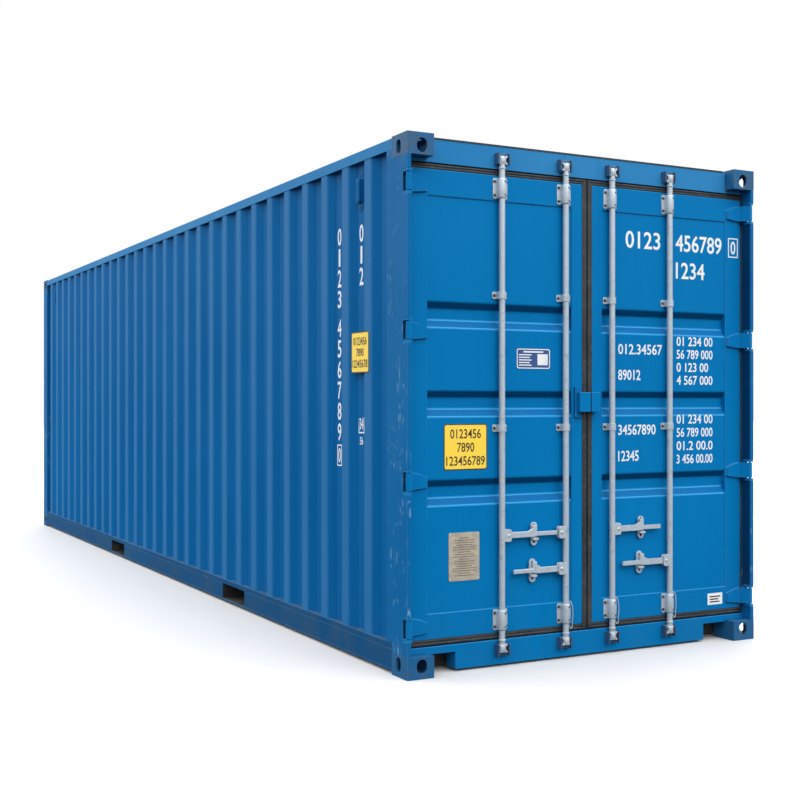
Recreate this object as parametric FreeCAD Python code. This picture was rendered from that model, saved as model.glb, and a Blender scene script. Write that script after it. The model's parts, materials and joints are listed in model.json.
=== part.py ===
import FreeCAD, Part
import os
from math import pi
from FreeCAD import Vector

os.makedirs("parts", exist_ok=True)

# ---------------------------------------------------------------------------
# Driving sizes, in millimetres.
# +Z is up, X runs across the width, Y runs along the length.
# The door end faces -Y.  "depth" is measured inwards from an end plane and
# "inset" is measured inwards from a side plane.
# ---------------------------------------------------------------------------
length = 9125.0
width = 2438.0
height = 2896.0

# corner castings
casting_len = 178.0
casting_wide = 162.0
casting_high = 118.0
casting_plate = 28.0
casting_floor = 12.0
casting_wall = 14.0
casting_slot_len = 124.5
casting_slot_wide = 63.5
casting_side_hole = 51.0
casting_end_hole = 63.5
casting_hole_from_end = 101.5
casting_hole_from_side = 89.0

# frame members
skin = 6.0
lip_wide = 23.0
rebate_clear = 5.0
post_reach = 240.0
post_stop_wide = 70.0
front_post_wide = 90.0
front_post_thin = 45.0
front_post_fold = 50.0
rail_inset = 3.0
top_rail_size = 60.0
top_rail_wall = 4.0
top_rail_drop = 6.0
bottom_rail_low = 17.0
bottom_rail_top = 170.0
bottom_rail_flange = 50.0
bottom_rail_wall = 5.0
front_rail_depth = 60.0
header_low = 2757.0
header_top = 2890.0
sill_low = 12.0
sill_top = 150.0
sill_notch_wide = 177.0
sill_notch_top = 108.0

# floor and underside
floor_thick = 28.0
cross_wide = 45.0
cross_wall = 4.0
cross_pitch = 300.0
pocket_wide = 450.0
pocket_wall = 6.0
pocket_centres = (2647.0, 5795.0)

# pressed sheets
sheet = 2.0
crest_inset = 6.0
crest_deep = 36.0
crest_flat = 76.0
crest_slope = 72.0
crest_count = 29
crest_first = 485.0
crest_last = 380.0
front_wave_pitch = 250.0
front_wave_flat = 104.0
front_wave_slope = 18.0
front_wave_deep = 43.0
front_wave_inset = 5.0
roof_wave_pitch = 209.0
roof_wave_flat = 91.0
roof_wave_slope = 13.5
roof_wave_deep = 20.0
roof_drop = 8.0
vent_high = 225.0
vent_top = 2785.0

# doors
door_recess = 76.0
door_thick = 50.0
door_edge = 42.0
door_top = 2722.0
door_low = 190.0
door_centre = 22.0
frame_side = 120.0
frame_mid = 85.0
frame_top = 140.0
frame_low = 135.0
frame_wall = 4.0
panel_recess = 6.0
rib_count = 3
rib_pitch = 483.0
rib_mid = 1455.0
rib_flat = 70.0
rib_slope = 34.0
rib_deep = 30.0
seal_thick = 20.0
seal_side = 14.0
seal_high = 30.0
seal_low = 35.0
seal_centre = 3.5

# hinges
pin_inset = 16.0
pin_r = 8.0
pin_gap = 0.06
knuckle_r = 13.5
hinge_high = 92.0
hinge_levels = (266.0, 1045.0, 1848.0, 2635.0)
hinge_clear = 5.5
lug_thick = 14.0
lug_half = 14.0
notch_depth = 52.0
blade_thick = 14.0
blade_end = 156.0
blade_taper = 100.0
blade_drop = 30.0
blade_rise = 12.0

# locking gear
rod_r = 17.0
rod_gap = 0.08
rod_stand = 24.0
rod_low = 80.0
rod_high = 2828.0
rod_x = (-596.0, -165.0, 165.0, 596.0)
rod_side = (1.0, -1.0, 1.0, -1.0)
bearing_r = 21.0
bearing_half = 47.0
bearing_plate = 6.0
housing_high = 116.0
housing_levels = (262.0, 2650.0)
guide_high = 38.0
guide_levels = (1322.0, 2058.0)
cam_r = 19.0
cam_reach = 30.0
cam_half = 12.0
cam_high = 40.0
cam_levels = (105.0, 2805.0)
keeper_ear = 8.0
keeper_clear = 7.0
keeper_front = 34.0
keeper_bar = 12.0
handle_levels = (727.0, 521.0, 727.0, 521.0)
handle_reach = (369.0, 355.0, 355.0, 355.0)
handle_pivot = 38.0
handle_pin_r = 6.0
handle_boss = 16.0
handle_thick = 12.0
handle_half = 17.0
handle_grip_half = 12.0
handle_step = 232.0
horn_at = 214.0
horn_half = 14.0
horn_high = 50.0
clevis_plate = 8.0
clevis_half = 34.0
clevis_reach = 56.0
catch_at = 221.0
catch_half = 21.0
catch_high = 132.0
catch_gap = 6.0
catch_shelf = 12.0
lock_high = 112.0
lock_level = 1467.0
lock_left = 77.0
lock_right = 59.0
lock_depth = 44.0
lock_wall = 4.0
bracket_high = 176.0
bracket_reach = 92.0
data_plate_size = (196.0, 264.0)
data_plate_edge = 135.0
data_plate_level = 623.0

# ---------------------------------------------------------------------------
# Derived sizes
# ---------------------------------------------------------------------------
half_w = width / 2
half_l = length / 2
top_rail_high = height - top_rail_drop
top_rail_low = top_rail_high - top_rail_size
casting_top_low = height - casting_high
door_back = door_recess + door_thick
stop_depth = door_back + rebate_clear
floor_top = bottom_rail_top
floor_low = floor_top - floor_thick
panel_depth = door_recess + panel_recess
rod_depth = door_recess - rod_stand
crest_pitch = (length - crest_first - crest_last) / (crest_count - 1)


# ---------------------------------------------------------------------------
# Helpers
# ---------------------------------------------------------------------------
def door_y(depth):
    """Y of a plane at this depth behind the door end."""
    return -half_l + depth


def front_y(depth):
    """Y of a plane at this depth behind the front end."""
    return half_l - depth


def side_x(inset):
    """X of a plane at this inset from the left side, the one that faces -X."""
    return -half_w + inset


def block(x0, x1, y0, y1, z0, z1):
    """Box between two corners given in any order."""
    xs, ys, zs = sorted((x0, x1)), sorted((y0, y1)), sorted((z0, z1))
    base = Vector(xs[0], ys[0], zs[0])
    return Part.makeBox(xs[1] - xs[0], ys[1] - ys[0], zs[1] - zs[0], base)


def prism(points, along):
    """Solid made by sweeping a closed outline of 3-D points along a vector."""
    wire = Part.makePolygon([Vector(*p) for p in points] + [Vector(*points[0])])
    return Part.Face(wire).extrude(Vector(*along))


def plan_prism(outline, z0, z1):
    """Sweep an (x, y) outline from z0 to z1."""
    return prism([(x, y, z0) for x, y in outline], (0, 0, z1 - z0))


def rod(x, y, z, radius, long):
    """Upright cylinder standing on z."""
    return Part.makeCylinder(radius, long, Vector(x, y, z), Vector(0, 0, 1))


def cross_rod(x, y, z, radius, long):
    """Cylinder lying along +Y from y."""
    return Part.makeCylinder(radius, long, Vector(x, y, z), Vector(0, 1, 0))


def stadium_slot(centre, half_long, radius, axis, up, deep):
    """Round-ended cutter, long along `up`, swept along `axis` by `deep`."""
    straight = half_long - radius
    side = axis.cross(up)
    corners = []
    for u, s in ((-1, -1), (1, -1), (1, 1), (-1, 1)):
        corners.append(centre + up * (u * straight) + side * (s * radius))
    wire = Part.makePolygon(corners + [corners[0]])
    cut = Part.Face(wire).extrude(axis * deep)
    for u in (-1, 1):
        cut = cut.fuse(Part.makeCylinder(radius, deep, centre + up * (u * straight), axis))
    return cut


def mirror_x(shape):
    """The same piece on the other side of the container."""
    return shape.mirror(Vector(0, 0, 0), Vector(1, 0, 0))


def wave(start, stop, centres, flat, slope, low, high):
    """Line of a pressed sheet that leaves `low` for `high` at each centre."""
    line = [(start, low)]
    for c in centres:
        line.append((c - flat / 2 - slope, low))
        line.append((c - flat / 2, high))
        line.append((c + flat / 2, high))
        line.append((c + flat / 2 + slope, low))
    line.append((stop, low))
    return line


def save(name, shapes):
    """Write one node; several solids that do not touch may share it."""
    solids = []
    for shape in shapes:
        solids.extend(shape.removeSplitter().Solids)
    body = solids[0] if len(solids) == 1 else Part.makeCompound(solids)
    body.exportStep("parts/%s.step" % name)


# ---------------------------------------------------------------------------
# Corner castings
# ---------------------------------------------------------------------------
def casting(side, end, top):
    """Hollow corner casting; side and end are -1 or +1, top is True or False."""
    x_out = side * half_w
    y_out = end * half_l
    z_out = height if top else 0.0
    inward = -1.0 if top else 1.0
    z_in = z_out + inward * casting_high
    body = block(x_out, x_out - side * casting_wide, y_out, y_out - end * casting_len, z_out, z_in)
    z_a = z_out + inward * casting_plate
    z_b = z_in - inward * casting_floor
    body = body.cut(block(
        x_out - side * casting_wall, x_out - side * (casting_wide - casting_wall),
        y_out - end * casting_wall, y_out - end * (casting_len - casting_wall), z_a, z_b))
    x_slot = x_out - side * casting_hole_from_side
    y_slot = y_out - end * casting_hole_from_end
    slot = stadium_slot(
        Vector(x_slot, y_slot, z_out - inward), casting_slot_len / 2, casting_slot_wide / 2,
        Vector(0, 0, inward), Vector(0, 1, 0), casting_plate + 2)
    z_mid = (z_a + z_b) / 2
    half_hole = abs(z_b - z_a) / 2
    side_hole = stadium_slot(
        Vector(x_out + side, y_slot, z_mid), half_hole, casting_side_hole / 2,
        Vector(-side, 0, 0), Vector(0, 0, 1), casting_wall + 2)
    end_hole = stadium_slot(
        Vector(x_slot, y_out + end, z_mid), half_hole, casting_end_hole / 2,
        Vector(0, -end, 0), Vector(0, 0, 1), casting_wall + 2)
    return body.cut(slot).cut(side_hole).cut(end_hole)


def make_castings():
    for end, label in ((-1, "door"), (1, "front")):
        shapes = []
        for side in (-1, 1):
            for top in (False, True):
                shapes.append(casting(side, end, top))
        save("castings_%s_end" % label, shapes)


# ---------------------------------------------------------------------------
# Posts
# ---------------------------------------------------------------------------
def left_door_post():
    """Folded post with a rebate for the door edge and notches for the hinges."""
    rear_low = bottom_rail_top
    rear_high = top_rail_low
    outline = [
        (side_x(0), door_y(0)), (side_x(lip_wide), door_y(0)),
        (side_x(lip_wide), door_y(stop_depth)), (side_x(post_stop_wide), door_y(stop_depth)),
        (side_x(post_stop_wide), door_y(casting_len)), (side_x(0), door_y(casting_len))]
    body = plan_prism(outline, casting_high, casting_top_low)
    body = body.fuse(block(side_x(0), side_x(post_stop_wide), door_y(casting_len),
                           door_y(post_reach), rear_low, rear_high))
    inside = [
        (side_x(skin), door_y(skin)), (side_x(lip_wide - skin), door_y(skin)),
        (side_x(lip_wide - skin), door_y(stop_depth + skin)),
        (side_x(post_stop_wide - skin), door_y(stop_depth + skin)),
        (side_x(post_stop_wide - skin), door_y(casting_len - skin)),
        (side_x(skin), door_y(casting_len - skin))]
    body = body.cut(plan_prism(inside, casting_high, casting_top_low))
    body = body.cut(block(
        side_x(skin), side_x(post_stop_wide - skin), door_y(casting_len - skin - 1),
        door_y(post_reach - skin), rear_low + skin, casting_top_low - skin))
    body = body.cut(block(
        side_x(skin), side_x(post_stop_wide - skin), door_y(casting_len + skin),
        door_y(post_reach - skin), casting_top_low - skin - 1, rear_high - skin))
    half_notch = hinge_high / 2 + hinge_clear + lug_thick
    for level in hinge_levels:
        body = body.cut(block(
            side_x(-1), side_x(lip_wide + 1), door_y(-1), door_y(notch_depth),
            level - half_notch, level + half_notch))
    return body


def left_front_post():
    outline = [
        (side_x(0), front_y(0)), (side_x(front_post_wide), front_y(0)),
        (side_x(front_post_wide), front_y(front_post_fold)),
        (side_x(front_post_thin), front_y(front_post_fold)),
        (side_x(front_post_thin), front_y(casting_len)), (side_x(0), front_y(casting_len))]
    body = plan_prism(outline, casting_high, casting_top_low)
    inside = [
        (side_x(skin), front_y(skin)), (side_x(front_post_wide - skin), front_y(skin)),
        (side_x(front_post_wide - skin), front_y(front_post_fold - skin)),
        (side_x(front_post_thin - skin), front_y(front_post_fold - skin)),
        (side_x(front_post_thin - skin), front_y(casting_len - skin)),
        (side_x(skin), front_y(casting_len - skin))]
    return body.cut(plan_prism(inside, casting_high, casting_top_low))


def make_posts():
    post = left_door_post()
    save("door_post_left", [post])
    save("door_post_right", [mirror_x(post)])
    front = left_front_post()
    save("front_posts", [front, mirror_x(front)])


# ---------------------------------------------------------------------------
# Cross members of the two end frames
# ---------------------------------------------------------------------------
def make_end_rails():
    inner = half_w - casting_wide
    edge = half_w - lip_wide
    header = block(-inner, inner, door_y(door_recess), door_y(casting_len), header_low, header_top)
    header = header.fuse(block(-edge, edge, door_y(door_recess), door_y(door_back),
                               header_low, casting_top_low))
    header = header.cut(block(-inner, inner, door_y(door_recess + skin), door_y(casting_len - skin),
                              header_low + skin, header_top - skin))
    save("door_header", [header])

    sill = block(-inner, inner, door_y(door_recess), door_y(casting_len), sill_low, sill_top)
    sill = sill.fuse(block(-edge, edge, door_y(door_recess), door_y(door_back),
                           casting_high, sill_top))
    for side in (-1, 1):
        sill = sill.cut(block(
            side * inner, side * (inner - sill_notch_wide), door_y(door_recess - 1),
            door_y(casting_len + 1), sill_low - 1, sill_notch_top))
    run = inner - sill_notch_wide - skin
    sill = sill.cut(block(-run, run, door_y(door_recess + skin), door_y(casting_len + 1),
                          sill_low + skin, sill_top - skin))
    save("door_sill", [sill])

    near, far = front_y(rail_inset), front_y(rail_inset + front_rail_depth)
    wall = top_rail_wall
    upper = block(-inner, inner, near, far, casting_top_low, top_rail_high)
    upper = upper.cut(block(-inner, inner, near - wall, far + wall,
                            casting_top_low + wall, top_rail_high - wall))
    upper = upper.fuse(block(-inner, inner, far, front_y(casting_len),
                             top_rail_high - skin, top_rail_high))
    lower = block(-inner, inner, near, far, bottom_rail_low, casting_high)
    lower = lower.cut(block(-inner, inner, near - wall, far + wall,
                            bottom_rail_low + wall, casting_high - wall))
    save("front_rails", [upper, lower])


# ---------------------------------------------------------------------------
# Side rails, fork pockets, crossmembers and floor
# ---------------------------------------------------------------------------
def left_top_rail():
    x0, x1 = side_x(rail_inset), side_x(rail_inset + top_rail_size)
    y0, y1 = door_y(casting_len), front_y(casting_len)
    wall = top_rail_wall
    tube = block(x0, x1, y0, y1, top_rail_low, top_rail_high)
    return tube.cut(block(x0 + wall, x1 - wall, y0, y1, top_rail_low + wall, top_rail_high - wall))


def pocket_limits():
    """Inside height of the fork pockets."""
    low = bottom_rail_low + bottom_rail_wall + pocket_wall
    return low, floor_low - pocket_wall


def left_bottom_rail():
    """Top angle, webs between the fork pockets and foot angle of the left rail."""
    wall = bottom_rail_wall
    x0, x1 = side_x(rail_inset), side_x(rail_inset + bottom_rail_flange)
    y0, y1 = door_y(casting_len), front_y(casting_len)
    low, high = pocket_limits()
    top = block(x0, x1, y0, y1, high, bottom_rail_top)
    top = top.cut(block(x0 + wall, x1 + 1, y0, y1, high - 1, bottom_rail_top - wall))
    foot = block(x0, x1, y0, y1, bottom_rail_low, low)
    foot = foot.cut(block(x0 + wall, x1 + 1, y0, y1, bottom_rail_low + wall, low + 1))
    webs = []
    start = y0
    for centre in pocket_centres:
        webs.append(block(x0, x0 + wall, start, door_y(centre - pocket_wide / 2), low, high))
        start = door_y(centre + pocket_wide / 2)
    webs.append(block(x0, x0 + wall, start, y1, low, high))
    return top, webs, foot


def make_side_rails():
    rail = left_top_rail()
    save("top_side_rails", [rail, mirror_x(rail)])
    top, webs, foot = left_bottom_rail()
    save("bottom_rail_tops", [top, mirror_x(top)])
    save("bottom_rail_webs", webs + [mirror_x(w) for w in webs])
    save("bottom_rail_feet", [foot, mirror_x(foot)])


def make_underside():
    web = half_w - rail_inset - bottom_rail_wall
    base = bottom_rail_low + bottom_rail_wall
    low, high = pocket_limits()
    half = pocket_wide / 2
    cheeks, plates = [], []
    for centre in pocket_centres:
        y0, y1 = door_y(centre - half), door_y(centre + half)
        cheeks.append(block(-web, web, y0 - pocket_wall, y0, base, floor_low))
        cheeks.append(block(-web, web, y1, y1 + pocket_wall, base, floor_low))
        plates.append(block(-web, web, y0, y1, base, low))
        plates.append(block(-web, web, y0, y1, high, floor_low))
    save("pocket_cheeks", cheeks)
    save("pocket_plates", plates)

    beams = []
    start = casting_len + 20.0
    stop = length - casting_len - 20.0 - cross_wide
    count = int((stop - start) / cross_pitch)
    pitch = (stop - start) / count
    keep_out = pocket_wide / 2 + pocket_wall + 20.0
    for i in range(count + 1):
        y = start + i * pitch
        if min(abs(y + cross_wide / 2 - c) for c in pocket_centres) < keep_out + cross_wide / 2:
            continue
        beam = block(-web, web, door_y(y), door_y(y + cross_wide), base, floor_low)
        beams.append(beam.cut(block(
            -web, web, door_y(y + cross_wall), door_y(y + cross_wide + 1),
            base + cross_wall, floor_low - cross_wall)))
    save("crossmembers", beams)

    edge = half_w - rail_inset - bottom_rail_flange
    save("floor", [block(-edge, edge, door_y(casting_len), front_y(front_post_fold),
                         floor_low, floor_top)])


# ---------------------------------------------------------------------------
# Pressed sheets
# ---------------------------------------------------------------------------
def crest_centres():
    """Distance of each side crest from the door end."""
    return [crest_first + i * crest_pitch for i in range(crest_count)]


def left_side_panel():
    low = crest_inset + crest_deep
    line = wave(post_reach, length - casting_len, crest_centres(),
                crest_flat, crest_slope, low, crest_inset)
    outer = [(side_x(a), door_y(d)) for d, a in line]
    inner = [(side_x(a + sheet), door_y(d)) for d, a in line]
    return plan_prism(outer + inner[::-1], bottom_rail_top, top_rail_low)


def spaced(start, stop, pitch, foot):
    """Centres of the most waves of this pitch that fit, kept in the middle."""
    count = int((stop - start - foot) / pitch)
    first = (start + stop - (count - 1) * pitch) / 2
    return [first + i * pitch for i in range(count)]


def make_sheets():
    side = left_side_panel()
    save("side_panel_left", [side])
    save("side_panel_right", [mirror_x(side)])

    edge = half_w - front_post_wide
    foot = front_wave_flat / 2 + front_wave_slope
    centres = spaced(-edge, edge, front_wave_pitch, foot / 2)
    line = wave(-edge, edge, centres, front_wave_flat, front_wave_slope,
                front_wave_inset, front_wave_inset + front_wave_deep)
    outer = [(x, front_y(d)) for x, d in line]
    inner = [(x, front_y(d + sheet)) for x, d in line]
    save("front_panel", [plan_prism(outer + inner[::-1], casting_high, casting_top_low)])

    start, stop = door_y(casting_len), front_y(casting_len)
    top = height - roof_drop
    centres = spaced(start, stop, roof_wave_pitch, roof_wave_pitch / 2)
    line = wave(start, stop, centres, roof_wave_flat, roof_wave_slope, top - roof_wave_deep, top)
    edge = half_w - rail_inset - top_rail_size
    outline = [(-edge, y, z) for y, z in line]
    outline += [(-edge, y, z - sheet) for y, z in line[::-1]]
    save("roof_panel", [prism(outline, (2 * edge, 0, 0))])

    vents = []
    centres = crest_centres()
    for a, b in ((centres[0], centres[1]), (centres[-2], centres[-1])):
        mid = (a + b) / 2
        half_low = (b - a) / 2 - crest_flat / 2 - crest_slope
        rise = crest_deep - 6.0
        half_high = half_low + crest_slope * rise / crest_deep - 4.0
        low = crest_inset + crest_deep
        outline = [
            (side_x(low), door_y(mid - half_low + 4)), (side_x(low), door_y(mid + half_low - 4)),
            (side_x(low - rise), door_y(mid + half_high)),
            (side_x(low - rise), door_y(mid - half_high))]
        vent = plan_prism(outline, vent_top - vent_high, vent_top)
        vents += [vent, mirror_x(vent)]
    save("side_vents", vents)


# ---------------------------------------------------------------------------
# Doors
# ---------------------------------------------------------------------------
def left_door_frame():
    x0, x1 = side_x(door_edge), -door_centre
    y0, y1 = door_y(door_recess), door_y(door_back)
    wall = frame_wall
    wx0, wx1 = x0 + frame_side, x1 - frame_mid
    wz0, wz1 = door_low + frame_low, door_top - frame_top
    ring = block(x0, x1, y0, y1, door_low, door_top)
    hollow = block(x0 + wall, x1 - wall, y0 + wall, y1 + 1, door_low + wall, door_top - wall)
    keep = block(wx0 - wall, wx1 + wall, y0 - 1, y1 + 2, wz0 - wall, wz1 + wall)
    ring = ring.cut(hollow.cut(keep))
    return ring.cut(block(wx0, wx1, y0 - 1, y1 + 1, wz0, wz1))


def left_door_panel():
    x0, x1 = side_x(door_edge) + frame_side, -door_centre - frame_mid
    z0, z1 = door_low + frame_low, door_top - frame_top
    centres = [rib_mid + (i - (rib_count - 1) / 2) * rib_pitch for i in range(rib_count)]
    line = wave(z0, z1, centres, rib_flat, rib_slope, panel_depth, panel_depth + rib_deep)
    outline = [(x0, door_y(d), z) for z, d in line]
    outline += [(x0, door_y(d + sheet), z) for z, d in line[::-1]]
    return prism(outline, (x1 - x0, 0, 0))


def left_door_seal():
    x0, x1 = side_x(door_edge), -door_centre
    y0, y1 = door_y(door_recess), door_y(door_recess + seal_thick)
    ring = block(x0 - seal_side, -seal_centre, y0, y1, door_low - seal_low, door_top + seal_high)
    return ring.cut(block(x0, x1, y0 - 1, y1 + 1, door_low, door_top))


def left_hinge(level):
    """Blade, the two fixed lugs and the pin at one hinge."""
    px, py = side_x(pin_inset), door_y(pin_inset)
    face = door_y(door_recess)
    half = hinge_high / 2
    z0 = level - half
    arm = [
        (px - 2, py - knuckle_r + 0.5), (px + 12, py - 12),
        (px + 50, face - blade_thick), (side_x(blade_end), face - blade_thick),
        (side_x(blade_end), face), (px + 42, face), (px + 2, py + knuckle_r - 0.5)]
    blade = plan_prism(arm, z0, z0 + hinge_high)
    blade = blade.fuse(rod(px, py, z0, knuckle_r, hinge_high))
    blade = blade.cut(rod(px, py, z0 - 1, pin_r + pin_gap, hinge_high + 2))
    # the plate on the door narrows towards its end
    for up, drop in ((1, blade_drop), (-1, blade_rise)):
        taper = [
            (side_x(blade_end - blade_taper), level + up * (half + 1)),
            (side_x(blade_end + 1), level + up * (half + 1)),
            (side_x(blade_end + 1), level + up * (half - drop)),
            (side_x(blade_end - blade_taper * 0.4), level + up * (half - drop * 0.45)),
            (side_x(blade_end - blade_taper), level + up * half)]
        blade = blade.cut(prism([(x, face - blade_thick - 1, z) for x, z in taper],
                                (0, blade_thick + 2, 0)))
    lugs = []
    for z in (z0 - hinge_clear - lug_thick, z0 + hinge_high + hinge_clear):
        lug = block(px - lug_half, px + lug_half, py - lug_half, door_y(notch_depth),
                    z, z + lug_thick)
        lugs.append(lug.cut(rod(px, py, z - 1, pin_r, lug_thick + 2)))
    low = z0 - hinge_clear - lug_thick
    pin = rod(px, py, low, pin_r, hinge_high + 2 * hinge_clear + 2 * lug_thick)
    return blade, lugs, pin


def make_doors():
    for name, shape in (("door_frame", left_door_frame()), ("door_panel", left_door_panel()),
                        ("door_seal", left_door_seal())):
        save(name + "_left", [shape])
        save(name + "_right", [mirror_x(shape)])
    blades, lugs, pins = [], [], []
    for level in hinge_levels:
        blade, pair, pin = left_hinge(level)
        blades.append(blade)
        lugs += pair
        pins.append(pin)
    save("hinge_blades_left", blades)
    save("hinge_blades_right", [mirror_x(s) for s in blades])
    save("hinge_lugs", lugs + [mirror_x(s) for s in lugs])
    save("hinge_pins", pins + [mirror_x(s) for s in pins])


# ---------------------------------------------------------------------------
# Locking gear
# ---------------------------------------------------------------------------
def lock_rod(index):
    """Turning rod with its two cams and the clevis that carries the handle."""
    x, side, y = rod_x[index], rod_side[index], door_y(rod_depth)
    body = rod(x, y, rod_low, rod_r, rod_high - rod_low)
    for level in cam_levels:
        z = level - cam_high / 2
        body = body.fuse(rod(x, y, z, cam_r, cam_high))
        body = body.fuse(block(x, x + side * (cam_reach - cam_half), y - cam_half, y + cam_half,
                               z, z + cam_high))
        body = body.fuse(rod(x + side * (cam_reach - cam_half), y, z, cam_half, cam_high))
    levels = [handle_levels[index]]
    if index == 1:
        levels.append(handle_levels[0])
    gap = handle_thick / 2 + 0.5
    for number, level in enumerate(levels):
        for turn in (-1, 1):
            near = y + turn * gap
            body = body.fuse(block(
                x, x + side * clevis_reach, near, near + turn * clevis_plate,
                level - clevis_half, level + clevis_half))
        if number == 0:
            body = body.fuse(cross_rod(x + side * handle_pivot, y - gap - clevis_plate, level,
                                       handle_pin_r, 2 * (gap + clevis_plate)))
    return body


def handle(index):
    """Flat lifting handle that hangs on the pin in the clevis."""
    side, level = rod_side[index], handle_levels[index]
    px, y = rod_x[index] + side * handle_pivot, door_y(rod_depth) - handle_thick / 2
    run = handle_reach[index] - handle_pivot
    horn, step = horn_at - handle_pivot, handle_step - handle_pivot
    root = clevis_reach - handle_pivot + 8.0
    outline = [
        (0, handle_boss - 1), (root, handle_half), (horn - horn_half - 30, handle_half),
        (horn - horn_half, handle_half + 14), (horn - horn_half, horn_high),
        (horn + horn_half, horn_high), (horn + horn_half, handle_half - 3),
        (step, handle_grip_half), (run, handle_grip_half), (run, -handle_grip_half),
        (step, -handle_grip_half), (horn - horn_half, -handle_half), (root, -handle_half),
        (0, -handle_boss + 1)]
    outline = [(px + side * a, y, level + b) for a, b in outline]
    bar = prism(outline, (0, handle_thick, 0))
    bar = bar.fuse(cross_rod(px, y, level, handle_boss, handle_thick))
    return bar.cut(cross_rod(px, y - 1, level, handle_pin_r + pin_gap, handle_thick + 2))


def bearing(index, level, high, back):
    """Housing or guide that holds a rod to the door, on a face at depth `back`."""
    x, y = rod_x[index], door_y(rod_depth)
    z = level - high / 2
    face = door_y(back)
    body = block(x - bearing_half, x + bearing_half, face - bearing_plate, face, z, z + high)
    body = body.fuse(block(x - bearing_r, x + bearing_r, y, face, z, z + high))
    body = body.fuse(rod(x, y, z, bearing_r, high))
    return body.cut(rod(x, y, z - 1, rod_r + rod_gap, high + 2))


def catch(index):
    """Cradle on the door under the stowed handle, open upwards and outwards."""
    side, level = rod_side[index], handle_levels[index]
    x = rod_x[index] + side * catch_at
    back = door_y(panel_depth)
    plate = door_y(rod_depth + handle_thick / 2 + catch_gap)
    straight = catch_high / 2 - catch_half
    body = block(x - catch_half, x + catch_half, plate, back, level - straight, level + straight)
    for end in (-1, 1):
        body = body.fuse(cross_rod(x, plate, level + end * straight, catch_half, back - plate))
    low = level - handle_half - catch_gap
    shelf = door_y(rod_depth - handle_thick / 2)
    return body.fuse(block(x - catch_half, x + catch_half, shelf, plate, low - catch_shelf, low))


def keeper(index, level):
    """Two ears on the end frame, one each side of a cam, joined past the rod's end."""
    x, side = rod_x[index], rod_side[index]
    back, front = door_y(door_recess), door_y(keeper_front)
    up = 1.0 if level > height / 2 else -1.0
    rod_end = rod_high if up > 0 else rod_low
    bar = rod_end + up * 6.0
    tip = level - up * (cam_high / 2 + 5)
    body = None
    for sign, reach in ((side, cam_reach), (-side, cam_r)):
        near = reach + keeper_clear
        ear = block(x + sign * near, x + sign * (near + keeper_ear), front, back,
                    tip, bar + up * keeper_bar)
        body = ear if body is None else body.fuse(ear)
    return body.fuse(block(
        x + side * (cam_reach + keeper_clear), x - side * (cam_r + keeper_clear),
        back - 16, back, bar, bar + up * keeper_bar))


def make_gear():
    for index in range(4):
        save("rod_%d" % (index + 1), [lock_rod(index)])
        save("handle_%d" % (index + 1), [handle(index)])
    for label, pair in (("left", (0, 1)), ("right", (2, 3))):
        holders = []
        for index in pair:
            for level in housing_levels:
                holders.append(bearing(index, level, housing_high, door_recess))
            for level in guide_levels:
                holders.append(bearing(index, level, guide_high, panel_depth))
        save("rod_bearings_" + label, holders)
        save("handle_catches_" + label, [catch(i) for i in pair])
    save("cam_keepers", [keeper(i, level) for i in range(4) for level in cam_levels])


def lock_half(x_out, x_in):
    """Half of the split lock cover, open underneath and at the split."""
    side = 1.0 if x_out > x_in else -1.0
    face = door_y(door_recess)
    low, high = lock_level - lock_high / 2, lock_level + lock_high / 2
    wall = lock_wall
    body = block(x_out, x_in, face - lock_depth, face, low, high)
    return body.cut(block(x_out - side * wall, x_in - side * 1, face - lock_depth + wall,
                          face + 1, low - 1, high - wall))


def make_lock_cover():
    save("lock_cover_left", [lock_half(-lock_left, -seal_centre)])
    save("lock_cover_right", [lock_half(lock_right, seal_centre)])
    face = door_y(door_recess)
    half = bracket_high / 2
    body = block(-bracket_reach, -door_centre, face - blade_thick, face,
                 lock_level - half, lock_level + half)
    body = body.cut(block(-lock_left, 0, face - blade_thick - 1, face + 1,
                          lock_level - lock_high / 2 - 1, lock_level + lock_high / 2))
    body = body.cut(block(-lock_left + 26, 0, face - blade_thick - 1, face + 1,
                          lock_level - half - 1, lock_level + half + 1))
    save("lock_bracket", [body])
    wide, high = data_plate_size
    x = side_x(door_edge + frame_side + data_plate_edge + wide / 2)
    z = data_plate_level
    back = door_y(panel_depth)
    save("data_plate", [block(x - wide / 2, x + wide / 2, back - 3, back,
                              z - high / 2, z + high / 2)])


make_castings()
make_posts()
make_end_rails()
make_side_rails()
make_underside()
make_sheets()
make_doors()
make_gear()
make_lock_cover()
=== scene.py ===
"""Looks of a long high-cube freight container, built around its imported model."""
import json
import logging
import math
from dataclasses import dataclass, field
from enum import Enum
from typing import Any, Iterable, Sequence

import bmesh
import bpy
from mathutils import Matrix, Vector

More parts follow.
